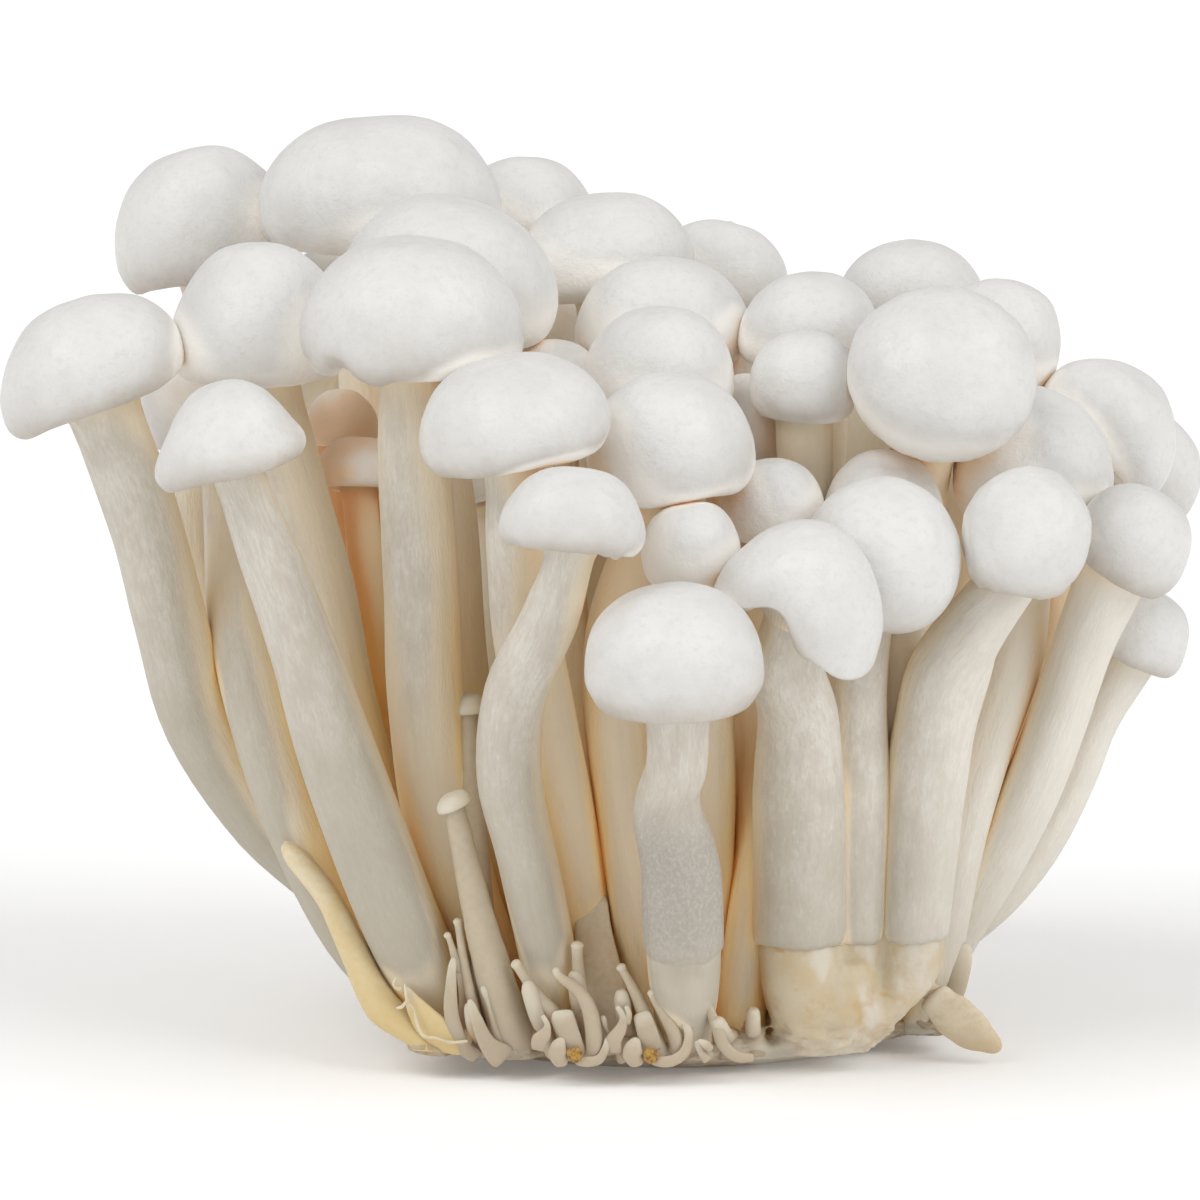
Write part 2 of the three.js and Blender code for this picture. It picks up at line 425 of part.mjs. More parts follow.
function capPoint(body, r, h, angle) {
  const half = body.wide / 2;
  let out = r * half;
  let up = h * body.tall;
  for (const lobe of body.lobes) {
    const w = lobeShare(lobe, angle);
    up -= lobe.drop * w * r * r;
    out += lobe.out * w * r;
  }
  return body.rim.clone().addScaledVector(body.axis, up)
    .addScaledVector(body.across, Math.cos(angle) * out)
    .addScaledVector(body.back, Math.sin(angle) * out);
}

// ---------------------------------------------------------------- settling
// Neighbours push one another apart until each stem and cap has room of its own.
function settle(bodies) {
  for (let round = 0; round < STEPS; round++) {
    bodies.forEach(refresh);
    for (const body of bodies) {
      body.shift = body.nodes.map(() => new THREE.Vector3());
      body.count = body.nodes.map(() => 0);
      body.capShift = new THREE.Vector3();
      body.capCount = 0;
    }
    for (const body of bodies) {
      const near = bodies.filter((other) => other !== body && other.box.intersectsBox(body.box));
      for (const ball of body.balls) {
        for (const other of near) pushStem(body, ball, other);
        if (!standsOnLump(ball.p)) pushFromLump(body, ball);
      }
      if (!body.hasCap) continue;
      for (const p of capPoints(body)) {
        for (const other of near) if (other.box.containsPoint(p)) pushCap(body, p, other);
      }
    }
    for (const body of bodies) relax(body);
  }
  bodies.forEach(refresh);
}

function addStemShift(body, t, way, size) {
  const s = t * LINKS;
  const i = Math.min(Math.floor(s), LINKS - 1);
  for (const [k, w] of [[i, 1 - (s - i)], [i + 1, s - i]]) {
    body.shift[k].addScaledVector(way, size * w);
    body.count[k] += w;
  }
  if (t < CAP_REACH && body.hasCap) addCapShift(body, way, size);
}

function addCapShift(body, way, size) {
  body.capShift.addScaledVector(way, size);
  body.capCount += 1;
}

function pushStem(body, ball, other) {
  if (!other.box.containsPoint(ball.p)) return;
  const stem = toStem(other, ball.p);
  const cap = other.hasCap ? toCap(other, ball.p) : Infinity;
  const need = ball.r + ROOM - Math.min(stem, cap);
  if (need <= 0) return;
  const way = wayOut(other, ball.p);
  addStemShift(body, ball.t, way, need / 2);
  if (cap < stem) addCapShift(other, way, -need / 4);
  else {
    let best = other.balls[0];
    for (const own of other.balls) {
      if (own.p.distanceToSquared(ball.p) < best.p.distanceToSquared(ball.p)) best = own;
    }
    addStemShift(other, best.t, way, -need / 2);
  }
}

function pushCap(body, p, other) {
  const stem = toStem(other, p);
  const cap = other.hasCap ? toCap(other, p) : Infinity;
  const need = ROOM - Math.min(stem, cap);
  if (need <= 0) return;
  const way = wayOut(other, p);
  addCapShift(body, way, need / 2);
  if (cap < stem) addCapShift(other, way, -need / 2);
}

function pushFromLump(body, ball) {
  const need = ball.r + ROOM - outsideLump(ball.p);
  if (need <= 0) return;
  const way = new THREE.Vector3(ball.p.x - lump.top[0], ball.p.y - lump.top[1], 0).normalize();
  addStemShift(body, ball.t, way, need);
}

// One move of a body: away from its neighbours, back towards its place, with a smooth stem.
function relax(body) {
  const last = body.nodes.length - 1;
  if (body.hasCap) {
    if (body.capCount) {
      const move = body.capShift.divideScalar(Math.max(body.capCount * CROWDING, 1));
      move.x *= SIDEWAYS;
      move.z *= SIDEWAYS;
      body.middle.add(move.clampLength(0, LONGEST_MOVE));
    }
    body.middle.add(body.home.clone().sub(body.middle).multiply(PULL));
  }
  for (let k = 0; k <= last; k++) {
    if (!body.count[k]) continue;
    const move = body.shift[k].divideScalar(Math.max(body.count[k], 1));
    body.nodes[k].add(move.clampLength(0, LONGEST_MOVE));
  }
  const off = body.nodes.map((p, k) => p.clone().sub(body.start[k]));
  if (body.hasCap) {
    off[0].copy(body.middle).sub(body.home);
    off[1].lerp(off[0], NECK_FOLLOWS);
  }
  for (let k = 1; k < last; k++) {
    const even = off[k - 1].clone().add(off[k + 1]).multiplyScalar(0.5);
    off[k].lerp(even, EVENING).multiplyScalar(HOLD.link);
  }
  off[last].multiplyScalar(HOLD.foot);
  off.forEach((move, k) => body.nodes[k].copy(body.start[k]).add(move));
  const foot = body.nodes[last];
  foot.z = onLump(...body.foot) ? lump.height + SEAT_GAP : moundTop(foot.x, foot.y) + SEAT_GAP;
}

// ---------------------------------------------------------------- skins
// Rings of points from the crown down to the foot, each with the point it shrinks towards.
function rings(body) {
  const out = [];
  let across = body.hasCap ? body.across.clone() : new THREE.Vector3(1, 0, 0);
  if (body.hasCap) {
    const core = body.rim.clone().addScaledVector(body.axis, body.tall * CORE);
    for (const [r, h] of body.form) out.push({ ring: capRing(body, r, h), core });
  }
  const curve = new THREE.CatmullRomCurve3(body.balls.map((ball) => ball.p), false, 'centripetal');
  const count = body.hasCap ? STEM_RINGS : body.thick.length - 1;
  const first = body.hasCap ? FIRST_RING.cap : FIRST_RING.tip;
  for (let i = 0; i < count; i++) {
    const t = mix(first, 1, i / count);
    const centre = curve.getPoint(t);
    const down = curve.getTangent(t);
    across = across.addScaledVector(down, -across.dot(down)).normalize();
    const side = across.clone().cross(down);
    const swell = i === 0 && body.hasCap ? COLLAR : 1;
    out.push({ ring: circle(centre, across, side, (along(body.thick, t) / 2) * swell), core: centre });
  }
  const foot = body.nodes[body.nodes.length - 1];
  const level = new THREE.Vector3(across.x, across.y, 0).normalize();
  const flat = circle(foot, level, new THREE.Vector3(-level.y, level.x, 0), along(body.thick, 1) / 2);
  for (const p of flat) p.z = onLump(...body.foot) ? foot.z : moundTop(p.x, p.y) + SEAT_GAP;
  out.push({ ring: flat, core: foot.clone() });
  return out;
}

function circle(centre, across, side, r) {
  const ring = [];
  for (let k = 0; k < SIDES; k++) {
    const angle = (2 * Math.PI * k) / SIDES;
    ring.push(centre.clone().addScaledVector(across, Math.cos(angle) * r)
      .addScaledVector(side, Math.sin(angle) * r));
  }
  return ring;
}

// Neighbours that still meet are pressed flat against one another, each giving way by half.
function press(body, near, core, p) {
  const room = (q) => {
    const depth = Math.min(toBody(body, q), 0);
    const least = near.reduce((low, other) => Math.min(low, toBody(other, q)), clearOfLump(body, q));
    return least - depth - ROOM;
  };
  if (room(p) >= 0) return p;
  let good = LEAST_SHARE;
  let bad = 1;
  for (let i = 0; i < HALVINGS; i++) {
    const t = (good + bad) / 2;
    if (room(core.clone().lerp(p, t)) >= 0) good = t;
    else bad = t;
  }
  return core.clone().lerp(p, good);
}

// How far a point is outside the lump, for a body that doesn't stand on it.
function clearOfLump(body, p) {
  return onLump(...body.foot) ? Infinity : outsideLump(p);
}

// A closed skin over rings of points, with a pole at each end.
function skin(crown, rows, foot) {
  const points = [crown, ...rows.flat(), foot];
  const faces = [];
  const at = (row, k) => 1 + row * rows[0].length + (k % rows[0].length);
  const end = points.length - 1;
  const last = rows.length - 1;
  for (let k = 0; k < rows[0].length; k++) {
    faces.push(0, at(0, k), at(0, k + 1));
    for (let row = 0; row < last; row++) {
      faces.push(at(row, k), at(row + 1, k), at(row + 1, k + 1));
      faces.push(at(row, k), at(row + 1, k + 1), at(row, k + 1));
    }
    faces.push(end, at(last, k + 1), at(last, k));
  }
  return { points, faces };
}

function toMesh(name, { points, faces }, seat, material) {
  const geometry = new THREE.BufferGeometry();
  const flat = points.flatMap((p) => [p.x - seat.x, p.y - seat.y, p.z - seat.z]);
  geometry.setAttribute('position', new THREE.Float32BufferAttribute(flat, 3));
  geometry.setIndex(faces);
  geometry.computeVertexNormals();
  const mesh = new THREE.Mesh(geometry, material);
  mesh.name = name;
  mesh.position.copy(seat);
  return mesh;
}

// ---------------------------------------------------------------- the clump and the scale
const wasm = await Module();
wasm.setup();

function solid({ points, faces }) {
  return new wasm.Manifold(new wasm.Mesh({
    numProp: 3,
    vertProperties: new Float32Array(points.flatMap((p) => [p.x, p.y, p.z])),
    triVerts: new Uint32Array(faces),
  }));
}

function makeClump(material) {
  const [cx, cy] = clump.centre;
  const ring = (share, height) => Array.from({ length: clump.sides }, (_, k) => {
    const angle = (2 * Math.PI * k) / clump.sides;
    const r = outline(angle) * share;
    const x = cx + Math.cos(angle) * r;
    const y = cy + Math.sin(angle) * r;
    return new THREE.Vector3(x, y, height ?? moundTop(x, y));
  });
  const sides = SIDE_RINGS.map(([share, height]) => ring(share, height * clump.edge));
  const mound = skin(new THREE.Vector3(cx, cy, clump.crown),
    [...TOP_RINGS.map((share) => ring(share)), ...sides], new THREE.Vector3(cx, cy, 0));
  const levels = LUMP_LEVELS.map(([z, ax, ay]) => Array.from({ length: lump.sides }, (_, k) => {
    const angle = (2 * Math.PI * k) / lump.sides;
    const t = z / lump.height;
    return new THREE.Vector3(mix(lump.foot[0], lump.top[0], t) + Math.cos(angle) * ax,
      mix(lump.foot[1], lump.top[1], t) + Math.sin(angle) * ay, z);
  }));
  const lumpSkin = skin(new THREE.Vector3(...lump.top, lump.height), levels.reverse(),
    new THREE.Vector3(...lump.foot, LUMP_LEVELS[0][0]));
  const made = solid(mound).add(solid(lumpSkin)).getMesh();
  const geometry = new THREE.BufferGeometry();
  geometry.setAttribute('position', new THREE.Float32BufferAttribute(made.vertProperties, 3));
  geometry.setIndex([...made.triVerts]);
  geometry.computeVertexNormals();
  const mesh = new THREE.Mesh(geometry, material);
  mesh.name = 'base_clump';
  return mesh;
}

// A thin leaf: an oval ring stretched to the width at each point of its path.
function makeScale(row, material) {
  const foot = V(row.foot);
  const path = evenly([...row.path.map(V), foot], row.rings - 1);
  const curve = new THREE.CatmullRomCurve3(path, false, 'centripetal');
  const rows = [];
  for (let i = 0; i < row.rings; i++) {
    const t = mix(...row.ends, i / (row.rings - 1));
    const centre = curve.getPoint(t);
    const down = curve.getTangent(t);
    const wide = new THREE.Vector3(0, 1, 0).cross(down).normalize();
    const side = wide.clone().cross(down);
    const half = along(row.widths, t) / 2;
    rows.push(Array.from({ length: SIDES }, (_, k) => {
      const angle = (2 * Math.PI * k) / SIDES;
      return centre.clone().addScaledVector(wide, Math.cos(angle) * half)
        .addScaledVector(side, Math.sin(angle) * Math.min(row.thick / 2, half * row.flat));
    }));
  }
  return toMesh(row.name, skin(path[0], rows, foot), foot, material);
}

// ---------------------------------------------------------------- the bunch
const flesh = (color, roughness) => new THREE.MeshStandardMaterial({ color, roughness, metalness: 0 });
const group = new THREE.Group();
group.name = 'shimeji_bunch';

const bodies = [...mushrooms.map(makeMushroom), ...growths.map(makeGrowth)];
settle(bodies);
for (const body of bodies) {
  const near = bodies.filter((other) => other !== body && other.box.intersectsBox(body.box));
  const rows = rings(body);
  const pressed = rows.map(({ ring, core }) => ring.map((p) => press(body, near, core, p)));
  const crown = press(body, near, rows[0].core, body.hasCap ? crownOf(body) : body.nodes[0].clone());
  const foot = body.nodes[body.nodes.length - 1].clone();
  const finish = flesh(body.hasCap ? COLOUR.flesh : COLOUR.pin, 0.6);
  group.add(toMesh(body.name, skin(crown, pressed, foot), foot, finish));
}
group.add(makeClump(flesh(COLOUR.clump, 0.75)));
group.add(makeScale(scale, flesh(COLOUR.scale, 0.75)));

export default group;
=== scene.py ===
"""A bunch of white shimeji mushrooms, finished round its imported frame.

Every mushroom is one skin from its crown to its foot, smoothed over the rings of its frame node.
All of them stand in one fused clump with a flat cut underside, with pins, a shoot and a torn scale
at its foot. Lengths are in metres; those written with MM are given in millimetres. A place on a skin
is named by its station: 0 is the top pole, and ring k of the frame node lies at station k + 1.
"""

import logging
import math
import zlib
from dataclasses import dataclass
from enum import Enum

import bmesh
import bpy
import numpy as np
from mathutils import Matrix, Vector, noise
from mathutils.bvhtree import BVHTree
from mathutils.kdtree import KDTree


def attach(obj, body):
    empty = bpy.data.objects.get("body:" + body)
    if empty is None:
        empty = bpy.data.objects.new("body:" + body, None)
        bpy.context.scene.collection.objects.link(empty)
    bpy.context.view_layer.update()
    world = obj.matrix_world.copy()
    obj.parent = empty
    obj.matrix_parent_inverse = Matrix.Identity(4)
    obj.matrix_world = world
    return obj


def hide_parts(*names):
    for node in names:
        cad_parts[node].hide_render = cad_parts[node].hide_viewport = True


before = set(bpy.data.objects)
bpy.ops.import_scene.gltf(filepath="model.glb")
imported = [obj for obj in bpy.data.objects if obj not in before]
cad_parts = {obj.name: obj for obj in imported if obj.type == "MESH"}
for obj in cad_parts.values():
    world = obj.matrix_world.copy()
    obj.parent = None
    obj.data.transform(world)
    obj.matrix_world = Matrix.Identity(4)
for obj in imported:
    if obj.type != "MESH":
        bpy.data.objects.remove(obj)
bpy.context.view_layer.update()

MM = 0.001
SIDES = 10  # points round each ring of a frame node
WELD = 0.002 * MM
CUT_MIDDLE = (6 * MM, -1 * MM)
CUT_REACH = (25 * MM, 21 * MM)  # half the width and half the depth of the cut face
CUT_FLAT = 0.72  # share of that reach that stays flat
CUT_RIM = 0.3  # share of it over which the rim then rises
CUT_RISE = 1.8 * MM  # how far the rim of the cut rises
CUT_LEFT = -9 * MM  # left of this it rises further
CUT_LEFT_RUN = 10 * MM
CUT_LEFT_RISE = 1.2 * MM
ABOVE_CUT = 0.1 * MM  # no skin comes nearer to the cut face
WAVES_KEPT = (1, 1, 1, 0.92, 0.8, 0.35)  # share kept of each wave round a ring, from broad to sharp
BODY = "root"

log = logging.getLogger("bunch")

Colour = tuple[float, float, float]
Span = tuple[float, float]
Row = tuple[float, ...]
Rows = tuple[Row, ...]


class Zone(Enum):
    """The kinds of surface on a mushroom, each with its own finish."""

    CAP = 0
    GILLS = 1
    STEM = 2


class Flesh(Enum):
    """The finishes that a small growth may have, each by its name among the finishes."""

    PIN = "pin"
    SHOOT = "shoot"
    SCALE = "scale"


# ------------------------------------------------------------------ rings and skins
@dataclass
class Rings:
    """The rings of a grown body, from its crown or tip down to its foot.

    Attributes:
        top: The pole at the crown or tip.
        levels: The rings, each with SIDES points in order round the body.
        foot: The pole under the foot.
    """

    top: np.ndarray
    levels: np.ndarray
    foot: np.ndarray

    def add_foot(self, ring: np.ndarray) -> None:
        """Adds one more ring below the last and moves the pole under the foot to it."""
        self.levels = np.concatenate([self.levels, ring[None]])
        self.foot = ring.mean(axis=0)


def read_rings(node: bpy.types.Object) -> Rings:
    """Finds the rings of a frame node by walking from its upper pole to its lower one.

    Args:
        node: A frame node whose skin is a stack of rings closed by two poles.

    Returns:
        Its rings, all in the same order round the body, the first point towards +X.
    """
    work = bmesh.new()
    work.from_mesh(node.data)
    bmesh.ops.remove_doubles(work, verts=work.verts, dist=WELD)
    poles = sorted((v for v in work.verts if len(v.link_edges) == SIDES), key=lambda v: v.co.z)
    foot, top = poles[0], poles[-1]
    ring = first_ring(top)
    seen = {top, *ring}
    levels = [ring]
    while foot not in around_of(ring[0]):
        lower = []
        for k in range(SIDES):
            shared = (around_of(ring[k]) & around_of(ring[k - 1])) - seen
            lower.append(shared.pop())
        seen.update(lower)
        levels.append(lower)
        ring = lower
    rings = Rings(np.array(top.co), np.array([[v.co for v in r] for r in levels]), np.array(foot.co))
    work.free()
    return rings


def around_of(vertex: bmesh.types.BMVert) -> set[bmesh.types.BMVert]:
    """The vertices joined to a vertex by an edge."""
    return {edge.other_vert(vertex) for edge in vertex.link_edges}


def first_ring(pole: bmesh.types.BMVert) -> list[bmesh.types.BMVert]:
    """Puts the ring next to a pole in order, anticlockwise as seen from outside the pole.

    Args:
        pole: A pole of a frame node.

    Returns:
        The ring's vertices, the first one towards +X.
    """
    loose = around_of(pole)
    centre = sum((v.co for v in loose), Vector()) / len(loose)
    axis = (pole.co - centre).normalized()
    across = (Vector((1, 0, 0)) - axis * axis.x).normalized()
    start = max(loose, key=lambda v: (v.co - centre).dot(across))
    ring = [start]
    while len(ring) < SIDES:
        here = ring[-1]
        nearby = (around_of(here) & loose) - set(ring)
        if len(ring) == 1:
            nearby = {v for v in nearby if (here.co - centre).cross(v.co - centre).dot(axis) > 0}
        ring.append(nearby.pop())
    return ring


def finer_round(levels: np.ndarray, columns: int) -> np.ndarray:
    """Smooth closed curves through rings, with more points in each.

    Args:
        levels: Rings of SIDES points.
        columns: Points wanted in each ring.

    Returns:
        The rings with that many points. Sharp dents are softened a little, as flesh would be.
    """
    waves = np.fft.rfft(levels, axis=1) * np.array(WAVES_KEPT)[:, None]
    return np.fft.irfft(waves, n=columns, axis=1) * (columns / SIDES)


def row_stations(rows: tuple[int, ...]) -> np.ndarray:
    """Stations of the rows of a skin: 0 is the top pole, 1 the first ring, and so on.

    Args:
        rows: How many rows to lay from each ring to the next, poles included.

    Returns:
        The stations, the top pole left out.
    """
    return np.concatenate([i + np.arange(count) / count for i, count in enumerate(rows)])[1:]


def loft(rings: Rings, stations: np.ndarray, columns: int) -> np.ndarray:
    """A smooth skin over rings: curves that run from the top pole down to the foot pole.

    Args:
        rings: The rings to cover.
        stations: Where the rows lie.
        columns: Points in each row.

    Returns:
        The rows of points, poles left out.
    """
    fine = finer_round(rings.levels, columns)
    half = columns // 2
    top = np.broadcast_to(rings.top, fine[0].shape)
    foot = np.broadcast_to(rings.foot, fine[0].shape)
    levels = np.stack([np.roll(fine[0], half, axis=0), top, *fine, foot, np.roll(fine[-1], half, axis=0)])
    gaps = np.sqrt(np.linalg.norm(np.diff(levels, axis=0), axis=2).mean(axis=1))[:, None, None]
    slopes = np.diff(levels, axis=0) / gaps
    bends = (slopes[1:] * gaps[:-1] + slopes[:-1] * gaps[1:]) / (gaps[:-1] + gaps[1:])
    points = np.empty((len(stations), columns, 3))
    for row, station in enumerate(stations):
        i = int(station)
        t = station - i
        span = gaps[i + 1]
        points[row] = (
            (1 + 2 * t) * (1 - t) ** 2 * levels[i + 1] + t * (1 - t) ** 2 * span * bends[i]
            + t * t * (3 - 2 * t) * levels[i + 2] + t * t * (t - 1) * span * bends[i + 1]
        )
    return points


def skin_normals(points: np.ndarray) -> np.ndarray:
    """Directions out of a skin of rows and columns, anticlockwise rows from the top down.

    Args:
        points: Rows of points, from the top down.

    Returns:
        One direction of length 1 for each point.
    """
    down = np.gradient(points, axis=0)
    along = np.roll(points, -1, axis=1) - np.roll(points, 1, axis=1)
    out = np.cross(down, along)
    return out / np.maximum(np.linalg.norm(out, axis=2, keepdims=True), 1e-12)


def window(x: np.ndarray, low: float, high: float, edge: float) -> np.ndarray:
    """1 between low and high, 0 outside them, with soft edges.

    Args:
        x: Values.
        low: Where the window opens.
        high: Where it closes.
        edge: How wide each soft edge is.

    Returns:
        One share for each value.
    """
    rise = np.clip((x - low) / edge + 0.5, 0, 1)
    fall = np.clip((high - x) / edge + 0.5, 0, 1)
    return soft(rise * fall)


def soft(share: np.ndarray) -> np.ndarray:
    """A share of 0 to 1, eased at both ends."""
    return share * share * (3 - 2 * share)


def lumps(points: np.ndarray, size: float, seed: float, depth: int = 1) -> np.ndarray:
    """Smooth uneven values, about -1 to 1, with lumps of a given size.

    Args:
        points: Points of any shape with three numbers each.
        size: Distance over which the value changes, in the points' own unit.
        seed: Moves the pattern, so that two pieces differ.
        depth: How many finer layers are added.

    Returns:
        One value for each point.
    """
    flat = (points.reshape(-1, 3) / size + seed).tolist()
    values = [noise.noise(p) if depth == 1 else noise.fractal(p, 1.0, 2.0, depth) for p in flat]
    return np.array(values).reshape(points.shape[:-1])


def turned_from(columns: int, direction: float) -> np.ndarray:
    """How far each column of a skin lies from a direction, in degrees; 0 is right and 270 the front."""
    angle = 360 * np.arange(columns) / columns
    return np.abs((angle - direction + 180) % 360 - 180)


def seed_of(name: str) -> float:
    """A number that belongs to a name and is the same on every run."""
    return (zlib.crc32(name.encode()) % 997) * 0.37


def cut_height(points: np.ndarray) -> np.ndarray:
    """Height of the cut face: flat in the middle, a little higher towards its rim.

    Args:
        points: Points of any shape with three numbers each.

    Returns:
        One height for each point.
    """
    x, y = points[..., 0], points[..., 1]
    off = np.hypot((x - CUT_MIDDLE[0]) / CUT_REACH[0], (y - CUT_MIDDLE[1]) / CUT_REACH[1])
    share = np.clip((off - CUT_FLAT) / CUT_RIM, 0, 1)
    left = np.clip((CUT_LEFT - x) / CUT_LEFT_RUN, 0, 1) * share
    return CUT_RISE * share * share * (3 - 2 * share) + CUT_LEFT_RISE * left * left


# ------------------------------------------------------------------ how deep a place lies
@dataclass
class Depths:
    """Measures how far a place is closed in by what stands round it.

    Attributes:
        reach: How far away a neighbour still counts.
        near: How near it counts in full.
        rays: Directions tried at each place.
        lift: How far off the skin a ray starts.
        tree: What stands round, ready to be searched.
    """

    reach: float = 42 * MM
    near: float = 12 * MM
    rays: int = 44
    lift: float = 0.4 * MM
    tree: BVHTree | None = None
    row_step: int = 3  # every third row of a skin is measured
    column_step: int = 8

    def take_in(self, skins: list[np.ndarray], base: bpy.types.Object) -> None:
        """Builds the search tree from coarse copies of all skins and from the clump.

        Args:
            skins: The skins of all mushrooms and growths.
            base: The clump.
        """
        vertices: list[tuple[float, ...]] = []
        faces: list[tuple[int, ...]] = []
        for skin in skins:
            coarse = skin[::self.row_step, ::self.column_step]
            start, (rows, columns) = len(vertices), coarse.shape[:2]
            vertices += [tuple(p) for p in coarse.reshape(-1, 3)]
            for r in range(rows - 1):
                for c in range(columns):
                    a, b = start + r * columns + c, start + r * columns + (c + 1) % columns
                    faces.append((a, a + columns, b + columns, b))
        start = len(vertices)
        vertices += [tuple(v.co) for v in base.data.vertices]
        faces += [tuple(start + i for i in p.vertices) for p in base.data.polygons]
        self.tree = BVHTree.FromPolygons(vertices, faces)

    def at(self, points: np.ndarray, normals: np.ndarray) -> np.ndarray:
        """How closed in each point is: 0 in the open, towards 1 in a crevice.

        Args:
            points: Places to measure at.
            normals: The direction out of the skin at each.

        Returns:
            One value for each point.
        """
        turn = np.arange(self.rays) * math.pi * (3 - math.sqrt(5))
        rise = np.sqrt((np.arange(self.rays) + 0.5) / self.rays)
        flat = np.sqrt(1 - rise * rise)
        spread = np.stack([np.cos(turn) * flat, np.sin(turn) * flat, rise], axis=1)
        found = np.empty(len(points))
        for i, (point, normal) in enumerate(zip(points, normals)):
            side = np.cross(normal, (0.0, 0.0, 1.0) if abs(normal[2]) < 0.9 else (1.0, 0.0, 0.0))
            side /= np.linalg.norm(side)
            basis = np.stack([side, np.cross(normal, side), normal])
            start = Vector(point + normal * self.lift)
            closed = 0.0
            for way in (spread @ basis).tolist():
                hit = self.tree.ray_cast(start, way, self.reach)
                if hit[0] is not None:
                    closed += min((self.reach - hit[3]) / (self.reach - self.near), 1)
            found[i] = closed / self.rays
        return found

    def over(self, skin: np.ndarray) -> np.ndarray:
        """Depths all over a skin, measured at every few points and spread between them.

        Args:
            skin: Rows of points, from the top down.

        Returns:
            One value for each point of the skin.
        """
        rows, columns = skin.shape[:2]
        pick_r = np.unique(np.append(np.arange(0, rows, self.row_step), rows - 1))
        pick_c = np.arange(0, columns, self.column_step)
        normals = skin_normals(skin)[pick_r][:, pick_c]
        coarse = self.at(skin[pick_r][:, pick_c].reshape(-1, 3), normals.reshape(-1, 3))
        coarse = coarse.reshape(len(pick_r), len(pick_c))
        wide = np.stack([np.interp(np.arange(columns), pick_c, row, period=columns) for row in coarse])
        return np.stack([np.interp(np.arange(rows), pick_r, column) for column in wide.T], axis=1)


